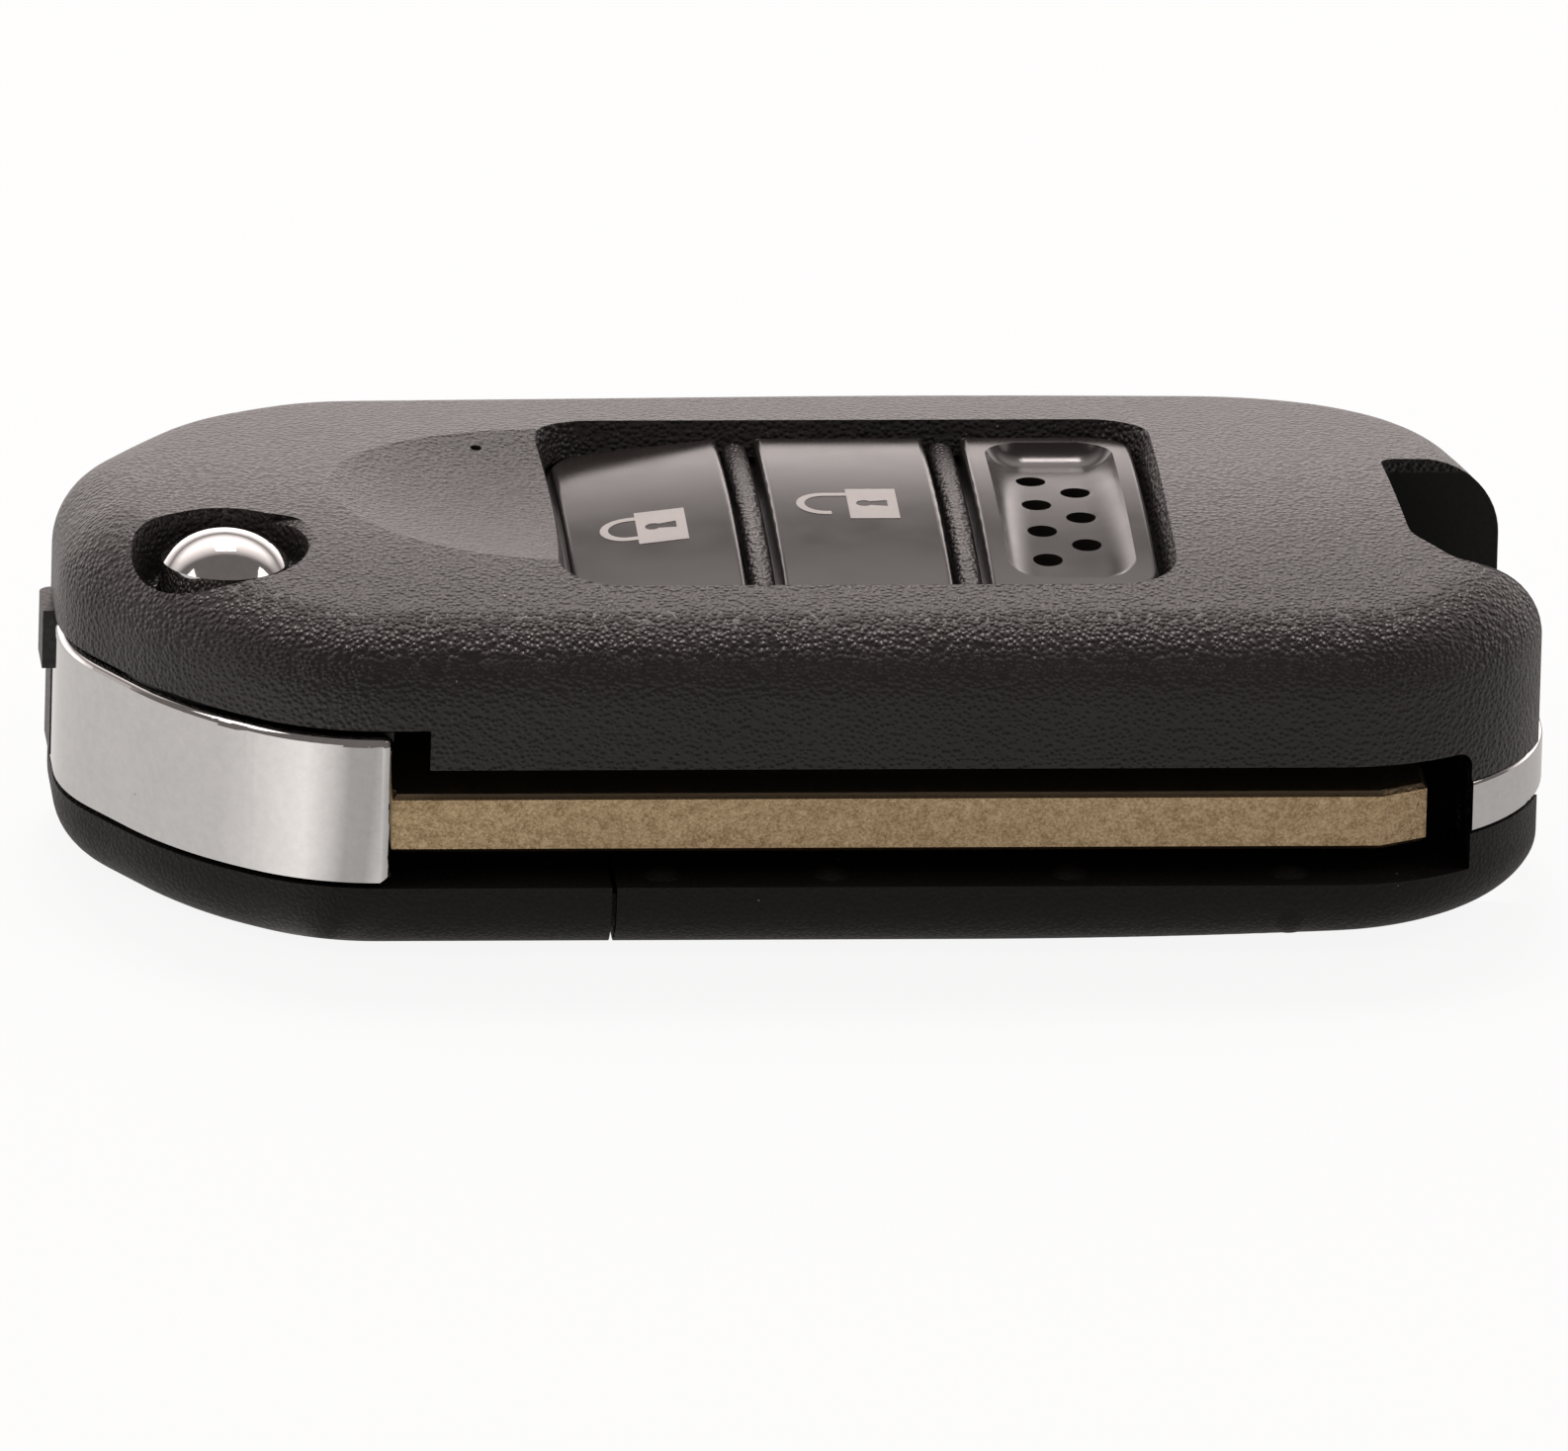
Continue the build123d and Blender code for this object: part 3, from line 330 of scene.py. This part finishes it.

# Slot: box whose inside is smooth and darkened with painted shade
SMOOTH_PAINTED_SHADE_BOXES = {"shell_plastic": NOTCH_BOX}

# Slot: colour, roughness
GLOSS_PLASTICS = {
    "button_gloss": ((0.018, 0.0155, 0.0142), 0.17),
    "light_lens": ((0.4, 0.03, 0.02), 0.15),
}

# Slot: dark tone, light tone, roughness, stretch of the grain
PLAIN_METALS = {
    "spring_steel": ((0.42, 0.42, 0.42), (0.58, 0.58, 0.57), 0.25, (1.0, 1.0, 1.0)),
    "battery_steel": ((0.5, 0.5, 0.49), (0.66, 0.66, 0.64), 0.22, (1.0, 0.1, 1.0)),
    "contact_brass": ((0.55, 0.4, 0.17), (0.72, 0.55, 0.26), 0.25, (0.1, 1.0, 1.0)),
}


def opaque(colour):
    """A colour with full alpha"""
    return (*colour, 1.0)


class Finish:
    """A material under construction: its tree, Object coordinates and Principled shader"""

    def __init__(self, name, **constants):
        self.material = bpy.data.materials.new(name)
        self.material.use_nodes = True
        self.tree = self.material.node_tree
        self.tree.nodes.clear()
        self.shader = add_node(self.tree, "ShaderNodeBsdfPrincipled")
        for socket, value in constants.items():
            self.shader.inputs[socket.replace("_", " ")].default_value = value
        place = add_node(self.tree, "ShaderNodeTexCoord")
        self.place = place.outputs["Object"]
        output = add_node(self.tree, "ShaderNodeOutputMaterial")
        self.tree.links.new(self.shader.outputs[0], output.inputs["Surface"])

    def group(self, group, **inputs):
        """Outputs of a node group placed in this material"""
        made = self.tree.nodes.new("ShaderNodeGroup")
        made.node_tree = group
        self.tree.links.new(self.place, made.inputs["Vector"])
        for socket, value in inputs.items():
            made.inputs[socket.replace("_", " ")].default_value = value
        return made.outputs

    def tones(self, share, dark, light):
        """Colour between two tones"""
        return mix_colour(self.tree, share, opaque(dark), opaque(light))

    def specked(self, specks, tone, speck_tone):
        """Colour with specks of another tone on it"""
        return mix_colour(self.tree, specks["Speck"], tone, opaque(speck_tone))

    def box_mask(self, low, high, rim):
        """1 inside a box, 0 outside it; corners and rim in mm"""
        parts = split_axes(self.tree, self.place)
        inside = None
        for axis, start, end in zip("XYZ", low, high):
            rise = remap(self.tree, parts[axis], (start - rim) * MM, start * MM)
            fall = remap(self.tree, parts[axis], end * MM, (end + rim) * MM, 1.0, 0.0)
            band = maths(self.tree, "MULTIPLY", rise, fall)
            inside = band if inside is None else maths(self.tree, "MULTIPLY", inside, band)
        return inside

    def feed(self, **inputs):
        """Links sockets to the shader's inputs"""
        for socket, value in inputs.items():
            self.tree.links.new(value, self.shader.inputs[socket.replace("_", " ")])

    def bump(self, height, depth):
        """Feeds a height to the shader's normal; depth in mm"""
        inputs = {"Height": height, "Distance": depth * MM, "Strength": 1.0}
        made = add_node(self.tree, "ShaderNodeBump", inputs)
        self.feed(Normal=made.outputs["Normal"])


def moulded_plastic(name, dark, light, roughness, pebble, depth, specular, smooth_painted_shade_box=None):
    """Grained moulded plastic with a little dust; smooth inside the given box, where painted
    shade darkens it to near black
    """
    made = Finish(name, Specular_IOR_Level=specular)
    grain = made.group(moulded_grain, Pebble_Size=pebble * MM)
    specks = made.group(dust)
    colour = made.specked(specks, made.tones(grain["Tone"], dark, light), DUST_TONE)
    height = grain["Height"]
    sheen = (roughness + GRAIN_SHEEN, roughness - GRAIN_SHEEN)
    rough = remap(made.tree, height, *GRAIN_HEIGHTS, *sheen)
    if smooth_painted_shade_box:
        inside = made.box_mask(*smooth_painted_shade_box, NOTCH_RIM)
        outside = maths(made.tree, "SUBTRACT", 1.0, inside)
        # Painted shade: near-black tone on the notch walls, standing in for the shade inside
        # the notch
        colour = mix_colour(made.tree, inside, colour, opaque(NOTCH_PAINTED_SHADE))
        rough = maths(made.tree, "MULTIPLY_ADD", inside, NOTCH_ROUGHENING, rough)
        height = maths(made.tree, "MULTIPLY", height, outside)
    made.feed(Base_Color=colour, Roughness=rough)
    made.bump(height, depth)
    return made.material


def gloss_plastic(name, colour, roughness):
    """Smooth gloss plastic with faint waves from the mould and a little dust"""
    made = Finish(name, Specular_IOR_Level=0.5)
    grain = made.group(
        moulded_grain, Pebble_Size=GLOSS_WAVE_SIZE * MM, Tone_Size=GLOSS_TONE_SIZE * MM
    )
    specks = made.group(dust, Share=GLOSS_DUST_SHARE, Spacing=GLOSS_DUST_SPACING * MM)
    light = [GLOSS_TONE_RISE * channel for channel in colour]
    tone = made.tones(grain["Tone"], colour, light)
    worn = (roughness, roughness * GLOSS_ROUGHNESS_RISE)
    made.feed(
        Base_Color=made.specked(specks, tone, GLOSS_DUST_TONE),
        Roughness=remap(made.tree, grain["Tone"], 0.0, 1.0, *worn),
    )
    made.bump(grain["Height"], GLOSS_WAVE_DEPTH)
    return made.material


def bright_chrome():
    """Chrome plate with faint scuffs and a few pits"""
    made = Finish("chrome_plate", Metallic=1.0)
    grain = made.group(metal_grain, Grain_Size=CHROME_GRAIN_SIZE * MM)
    pits = made.group(dust, Share=PIT_SHARE, Spacing=PIT_SPACING * MM)
    tone = made.tones(grain["Tone"], CHROME_DARK, CHROME_LIGHT)
    made.feed(
        Base_Color=made.specked(pits, tone, PIT_TONE),
        Roughness=remap(made.tree, grain["Tone"], 0.0, 1.0, *CHROME_ROUGHNESS),
    )
    made.bump(grain["Height"], CHROME_GRAIN_DEPTH)
    return made.material


def blade_metal():
    """Warm nickel silver, sandy from the blank's rolling, ridged where the tip was sheared,
    with a painted highlight along its upper edge
    """
    made = Finish("blade_metal", Metallic=1.0)
    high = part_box("key_blade")[1]
    grain = made.group(
        metal_grain, Grain_Size=BLADE_GRAIN_SIZE * MM, Stretch=BLADE_GRAIN_STRETCH
    )
    parts = split_axes(made.tree, made.place)
    tip = remap(made.tree, parts["X"], *(high.x - run * MM for run in TIP_RUN))
    # Painted highlight: a band along the top of the blade is lightened towards the edge tone
    edge = remap(made.tree, parts["Z"], *(high.z - depth * MM for depth in BLADE_HIGHLIGHT_DEPTH))
    ridges = add_node(
        made.tree,
        "ShaderNodeTexNoise",
        {
            "Vector": made.place,
            "Scale": 1 / (RIDGE_SIZE * MM),
            "Detail": 2.0,
            "Distortion": 0.6,
        },
    )
    face = made.tones(grain["Tone"], BLADE_DARK, BLADE_LIGHT)
    ridge = maths(made.tree, "MULTIPLY", ridges.outputs["Fac"], tip)
    made.feed(
        Base_Color=mix_colour(made.tree, edge, face, opaque(BLADE_EDGE_HIGHLIGHT)),
        Roughness=remap(made.tree, grain["Tone"], 0.0, 1.0, *BLADE_ROUGHNESS),
    )
    height = maths(made.tree, "MULTIPLY_ADD", ridge, RIDGE_HEIGHT, grain["Height"])
    made.bump(height, BLADE_GRAIN_DEPTH)
    return made.material


def plain_metal(name, dark, light, roughness, stretch):
    """Plain metal, lightly grained"""
    made = Finish(name, Metallic=1.0)
    grain = made.group(metal_grain, Grain_Size=METAL_GRAIN_SIZE * MM, Stretch=stretch)
    worn = (roughness, roughness + METAL_ROUGHNESS_SPAN)
    made.feed(
        Base_Color=made.tones(grain["Tone"], dark, light),
        Roughness=remap(made.tree, grain["Tone"], 0.0, 1.0, *worn),
    )
    made.bump(grain["Height"], METAL_GRAIN_DEPTH)
    return made.material


def sign_print():
    """Pale printed ink, slightly uneven"""
    made = Finish("sign_print")
    grain = made.group(moulded_grain, Pebble_Size=INK_GRAIN_SIZE * MM)
    made.feed(
        Base_Color=made.tones(grain["Tone"], INK_DARK, INK_LIGHT),
        Roughness=remap(made.tree, grain["Height"], *GRAIN_HEIGHTS, *INK_ROUGHNESS),
    )
    made.bump(grain["Height"], INK_GRAIN_DEPTH)
    return made.material


finishes = {"chrome": bright_chrome(), "blade_metal": blade_metal()}
for slot, values in MOULDED_PLASTICS.items():
    finishes[slot] = moulded_plastic(slot, *values, smooth_painted_shade_box=SMOOTH_PAINTED_SHADE_BOXES.get(slot))
for slot, values in GLOSS_PLASTICS.items():
    finishes[slot] = gloss_plastic(slot, *values)
for slot, values in PLAIN_METALS.items():
    finishes[slot] = plain_metal(slot, *values)
print_ink = sign_print()

for row in frame["record"]["subparts"]:
    frame["nodes"][row["node"]].material_slots[0].material = finishes[row["material_slot"]]


# Pieces of the scene's own


def arc(centre, radius, start, end, steps=12):
    """Points of an arc from start to end, in degrees"""
    angles = [math.radians(start + (end - start) * n / steps) for n in range(steps + 1)]
    return [
        (centre[0] + radius * math.cos(a), centre[1] + radius * math.sin(a)) for a in angles
    ]


def thicken(solid, faces, offset):
    """Gives faces of a bmesh a thickness, and turns all its faces outwards"""
    walls = bmesh.ops.extrude_face_region(solid, geom=faces)
    moved = [item for item in walls["geom"] if isinstance(item, bmesh.types.BMVert)]
    bmesh.ops.translate(solid, verts=moved, vec=offset)
    bmesh.ops.recalc_face_normals(solid, faces=solid.faces[:])


def add_piece(name, solid, material):
    """Turns a bmesh into an object of one material"""
    mesh = bpy.data.meshes.new(name)
    solid.to_mesh(mesh)
    solid.free()
    mesh.materials.append(material)
    piece = bpy.data.objects.new(name, mesh)
    bpy.context.scene.collection.objects.link(piece)
    return piece


# Padlock signs on the two push buttons, lying with the shackle to the left. Sizes in mm.

SIGN_BODY_LENGTH = 2.5
SIGN_BODY_WIDTH = 4.0
SHACKLE_WIDTH = 2.9
SHACKLE_REACH = 1.85
SHACKLE_STROKE = 0.42
SHACKLE_LIFT = 0.75
SHACKLE_END = 0.252
KEYHOLE_RADIUS = 0.4
KEYHOLE_START = 0.825
KEYHOLE_END = 2.0
KEYHOLE_MOUTH = 40
INK_THICKNESS = 0.02
INK_WALL = 0.03
SIGN_CUTS = 12
RAY_START = 1.0

# Left end of each sign's body, from its button's left edge and middle line
LOCK_PLACE = (4.05, -2.0)
UNLOCK_PLACE = (4.4, -0.25)


def sign_outlines(is_open):
    """Closed outlines of the sign in mm: body with its shackle, and the holes in them"""
    half_width = SIGN_BODY_WIDTH / 2
    outer = SHACKLE_WIDTH / 2
    inner = outer - SHACKLE_STROKE
    bend_x = outer - SHACKLE_REACH - (SHACKLE_LIFT if is_open else 0.0)
    body = [
        (0, -half_width), (SIGN_BODY_LENGTH, -half_width),
        (SIGN_BODY_LENGTH, half_width), (0, half_width), (0, outer),
    ]
    body += arc((bend_x, 0), outer, 90, 270)
    keyhole = arc((KEYHOLE_START, 0), KEYHOLE_RADIUS, KEYHOLE_MOUTH, 360 - KEYHOLE_MOUTH)
    keyhole += [(KEYHOLE_END, -KEYHOLE_RADIUS), (KEYHOLE_END, KEYHOLE_RADIUS)]
    if is_open:
        free_end_x = bend_x + SHACKLE_END
        body += [(free_end_x, -outer), (free_end_x, -inner)]
        body += arc((bend_x, 0), inner, 270, 90) + [(0, inner)]
        return [body, keyhole]
    body += [(0, -outer)]
    bow = [(0, inner)] + arc((bend_x, 0), inner, 90, 270) + [(0, -inner)]
    return [body, keyhole, bow]


def flat_sign(name, place, is_open):
    """Sign as a filled flat bmesh, at its place over the button"""
    curve = bpy.data.curves.new(name, "CURVE")
    curve.dimensions = "2D"
    curve.fill_mode = "BOTH"
    for outline in sign_outlines(is_open):
        spline = curve.splines.new("POLY")
        spline.points.add(len(outline) - 1)
        for point, (x, y) in zip(spline.points, outline):
            point.co = (x * MM + place.x, y * MM + place.y, 0.0, 1.0)
        spline.use_cyclic_u = True
    drawn = bpy.data.objects.new(name, curve)
    filled = bpy.data.meshes.new_from_object(drawn)
    solid = bmesh.new()
    solid.from_mesh(filled)
    bpy.data.objects.remove(drawn)
    bpy.data.meshes.remove(filled)
    bpy.data.curves.remove(curve)
    return solid


def button_sign(name, button, place, is_open):
    """Printed padlock laid on the top of a button"""
    solid = flat_sign(name, place, is_open)
    sign_length = SIGN_BODY_LENGTH + SHACKLE_REACH + SHACKLE_LIFT
    for axis, span in ((0, sign_length), (1, SIGN_BODY_WIDTH)):
        across = Vector((1 - axis, axis, 0))
        for step in range(-SIGN_CUTS, SIGN_CUTS + 1):
            cut = place.copy()
            cut[axis] += step * span / SIGN_CUTS * MM
            whole = solid.verts[:] + solid.edges[:] + solid.faces[:]
            bmesh.ops.bisect_plane(solid, geom=whole, plane_co=cut, plane_no=across)
    surface = BVHTree.FromPolygons(
        [v.co for v in frame["nodes"][button].data.vertices],
        [p.vertices for p in frame["nodes"][button].data.polygons],
    )
    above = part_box(button)[1].z + RAY_START * MM
    for vertex in solid.verts:
        start = Vector((vertex.co.x, vertex.co.y, above))
        hit = surface.ray_cast(start, Vector((0, 0, -1)))[0]
        vertex.co.z = hit.z + INK_THICKNESS * MM
    bmesh.ops.recalc_face_normals(solid, faces=solid.faces[:])
    if sum(face.normal.z for face in solid.faces) < 0:
        bmesh.ops.reverse_faces(solid, faces=solid.faces[:])
    thicken(solid, solid.faces[:], (0, 0, -INK_WALL * MM))
    sign = add_piece(name, solid, print_ink)
    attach(sign, button)


def sign_place(button, from_left, from_middle):
    """Point on a button, mm from its left edge and middle line"""
    low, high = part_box(button)
    return Vector((low.x + from_left * MM, (low.y + high.y) / 2 + from_middle * MM, 0.0))


button_sign("lock_sign", "lock_button", sign_place("lock_button", *LOCK_PLACE), False)
button_sign("unlock_sign", "unlock_button", sign_place("unlock_button", *UNLOCK_PLACE), True)


# Tongue in the split between the two lower covers. Sizes in mm.

LAP_INSET = 0.5
LAP_SINK = 0.02
COVER_ROUND = 2.9


def cover_lap():
    """Tongue that closes the split between the lower covers, a little below their surface"""
    low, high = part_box("pivot_cover")
    inset = LAP_INSET * MM
    start_x = high.x - LAP_SINK * MM
    end_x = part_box("rear_cover")[0].x + LAP_SINK * MM
    front_y, back_y = low.y + inset, high.y - inset
    floor_z, top_z = low.z + inset, high.z - inset
    radius = (COVER_ROUND - LAP_INSET) * MM
    outline = [(front_y, top_z)]
    outline += arc((front_y + radius, floor_z + radius), radius, 180, 270)
    outline += arc((back_y - radius, floor_z + radius), radius, 270, 360)
    outline += [(back_y, top_z)]
    solid = bmesh.new()
    side = solid.faces.new([solid.verts.new((start_x, y, z)) for y, z in outline])
    thicken(solid, [side], (end_x - start_x, 0, 0))
    lap = add_piece("cover_lap", solid, finishes["cover_plastic"])
    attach(lap, "case")


cover_lap()


# Stage: floor, world, lamps and camera

# Floor: half its side in metres, its share of glow, its tones for rays that see it and for the
# rest, and the tint of its glow in reflections
FLOOR_HALF = 2.0
FLOOR_GLOW = 0.9
FLOOR_SEEN = (0.92, 0.92, 0.92)
FLOOR_UNSEEN = (0.3, 0.3, 0.3)
FLOOR_TINT = (1.0, 0.965, 0.94)
WHITE = (1.0, 1.0, 1.0)

# Floor's tones in reflections: degrees to the left of straight ahead, from a point in mm
SWEEP_X = -24.0
SWEEP_Y = -14.0
SWEEP_TONES = [
    (-70, 0.55), (-35, 0.62), (-20, 0.78), (-9, 0.86), (-6, 0.72), (-2, 0.5),
    (10, 0.52), (20, 0.9), (34, 1.3), (55, 1.1), (75, 0.78), (100, 0.75),
]
SWEEP_SCALE = 2.0

# World: strengths low down, in the dip and high up behind, and in front; and where they change
WORLD_LOW = 2.5
WORLD_DIP = 0.35
WORLD_HIGH = 2.0
WORLD_FRONT = 0.2
WORLD_FALL = (0.2, 0.44)
WORLD_RISE = (0.46, 0.62)
WORLD_SIDE = (0.25, 0.6)
STUDIO_TINT = (1.0, 0.9, 0.875)

# Softboxes, all at one distance in metres. Name: azimuth, elevation, width, height, watts
SOFTBOX_DISTANCE = 0.8
SOFTBOXES = {
    "top_softbox": (180, 62, 0.24, 0.16, 2.4),
    "left_softbox": (-80, 45, 0.3, 0.3, 0.8),
    "right_softbox": (85, 45, 0.3, 0.3, 0.6),
}


def ray_mask(tree):
    """1 for camera, glossy and transmission rays, which see the white background"""
    path = add_node(tree, "ShaderNodeLightPath").outputs
    seen = maths(tree, "ADD", path["Is Camera Ray"], path["Is Glossy Ray"])
    return maths(tree, "ADD", seen, path["Is Transmission Ray"], clamp=True)


def sweep_tone(tree):
    """How brightly the floor shows in reflections, by its direction from the collar"""
    place = add_node(tree, "ShaderNodeTexCoord").outputs["Object"]
    parts = split_axes(tree, place)
    left = maths(tree, "SUBTRACT", SWEEP_X * MM, parts["X"])
    ahead = maths(tree, "SUBTRACT", SWEEP_Y * MM, parts["Y"])
    turn = maths(tree, "ARCTAN2", left, ahead)
    first, last = SWEEP_TONES[0][0], SWEEP_TONES[-1][0]
    share = remap(tree, turn, math.radians(first), math.radians(last))
    made = add_node(tree, "ShaderNodeValToRGB", {"Fac": share})
    stops = made.color_ramp.elements
    while len(stops) < len(SWEEP_TONES):
        stops.new(0.5)
    for stop, (angle, _) in zip(stops, SWEEP_TONES):
        stop.position = (angle - first) / (last - first)
    for stop, (_, tone) in zip(stops, SWEEP_TONES):
        stop.color = opaque([tone / SWEEP_SCALE] * 3)
    return maths(tree, "MULTIPLY", made.outputs["Color"], SWEEP_SCALE)


def white_floor():
    """Plain floor that looks white where it is seen and keeps the object's shadow"""
    mesh = bpy.data.meshes.new("floor")
    corners = [(-1, -1), (1, -1), (1, 1), (-1, 1)]
    mesh.from_pydata([(x * FLOOR_HALF, y * FLOOR_HALF, 0) for x, y in corners], [], [range(4)])
    floor = bpy.data.objects.new("floor", mesh)
    bpy.context.scene.collection.objects.link(floor)
    material = bpy.data.materials.new("floor_white")
    material.use_nodes = True
    tree = material.node_tree
    tree.nodes.clear()
    seen = ray_mask(tree)
    tone = mix_colour(tree, seen, opaque(FLOOR_UNSEEN), opaque(FLOOR_SEEN))
    card = add_node(tree, "ShaderNodeBsdfDiffuse", {"Color": tone})
    camera = add_node(tree, "ShaderNodeLightPath").outputs["Is Camera Ray"]
    inputs = {
        "Color": mix_colour(tree, camera, opaque(FLOOR_TINT), opaque(WHITE)),
        "Strength": mix_value(tree, camera, sweep_tone(tree), 1.0),
    }
    glow = add_node(tree, "ShaderNodeEmission", inputs)
    share = maths(tree, "MULTIPLY", seen, FLOOR_GLOW)
    mixed = add_node(
        tree, "ShaderNodeMixShader", {0: share, 1: card.outputs[0], 2: glow.outputs[0]}
    )
    output = add_node(tree, "ShaderNodeOutputMaterial")
    tree.links.new(mixed.outputs[0], output.inputs["Surface"])
    mesh.materials.append(material)


def studio_world():
    """Surroundings: bright low down and high up behind, with a dip between, dim in front"""
    world = bpy.data.worlds.new("studio")
    bpy.context.scene.world = world
    world.use_nodes = True
    tree = world.node_tree
    tree.nodes.clear()
    way = add_node(tree, "ShaderNodeTexCoord").outputs["Generated"]
    parts = split_axes(tree, way)
    low_band = remap(tree, parts["Z"], *WORLD_FALL, WORLD_LOW, WORLD_DIP)
    high_band = remap(tree, parts["Z"], *WORLD_RISE, 0.0, WORLD_HIGH - WORLD_DIP)
    back = maths(tree, "ADD", low_band, high_band)
    lit = mix_value(tree, remap(tree, parts["Y"], *WORLD_SIDE), WORLD_FRONT, back)
    camera = add_node(tree, "ShaderNodeLightPath").outputs["Is Camera Ray"]
    inputs = {
        "Color": mix_colour(tree, camera, opaque(STUDIO_TINT), opaque(WHITE)),
        "Strength": mix_value(tree, camera, lit, 1.0),
    }
    shader = add_node(tree, "ShaderNodeBackground", inputs)
    output = add_node(tree, "ShaderNodeOutputWorld")
    tree.links.new(shader.outputs[0], output.inputs["Surface"])


def softbox(name, azimuth, elevation, width, height, power):
    """Rectangular lamp that faces the object"""
    lamp = bpy.data.lights.new(name, "AREA")
    lamp.shape = "RECTANGLE"
    lamp.size = width
    lamp.size_y = height
    lamp.energy = power
    lamp.color = STUDIO_TINT
    holder = bpy.data.objects.new(name, lamp)
    bpy.context.scene.collection.objects.link(holder)
    holder.visible_camera = False
    a, e = math.radians(azimuth), math.radians(elevation)
    back = Vector((math.sin(a) * math.cos(e), -math.cos(a) * math.cos(e), math.sin(e)))
    holder.location = back * SOFTBOX_DISTANCE
    holder.rotation_mode = "QUATERNION"
    holder.rotation_quaternion = back.to_track_quat("Z", "Y")


def photo_camera():
    """Camera at the photograph's viewing angle"""
    angles = (CAMERA_AZIMUTH, CAMERA_ELEVATION, CAMERA_ROLL)
    a, e, roll = (math.radians(angle) for angle in angles)
    level = Vector((math.cos(a), math.sin(a), 0))
    rise = Vector((-math.sin(a) * math.sin(e), math.cos(a) * math.sin(e), math.cos(e)))
    back = level.cross(rise)
    right = math.cos(roll) * level + math.sin(roll) * rise
    up = math.cos(roll) * rise - math.sin(roll) * level
    off_x = (PHOTO_WIDTH / 2 - ORIGIN_PIXEL[0]) / PIXELS_PER_MM * MM
    off_y = (ORIGIN_PIXEL[1] - PHOTO_HEIGHT / 2) / PIXELS_PER_MM * MM
    place = right * off_x + up * off_y + back * CAMERA_DISTANCE
    data = bpy.data.cameras.new("photo_camera")
    data.sensor_width = SENSOR_WIDTH
    data.lens = SENSOR_WIDTH * CAMERA_DISTANCE / (PHOTO_WIDTH / PIXELS_PER_MM * MM)
    data.clip_start = CAMERA_NEAR
    data.clip_end = CAMERA_FAR
    camera = bpy.data.objects.new("photo_camera", data)
    bpy.context.scene.collection.objects.link(camera)
    turn = Matrix((right, up, back)).transposed().to_4x4()
    camera.matrix_world = Matrix.Translation(place) @ turn
    bpy.context.scene.camera = camera


white_floor()
studio_world()
for name, values in SOFTBOXES.items():
    softbox(name, *values)
photo_camera()
bpy.context.scene.view_settings.view_transform = "Standard"
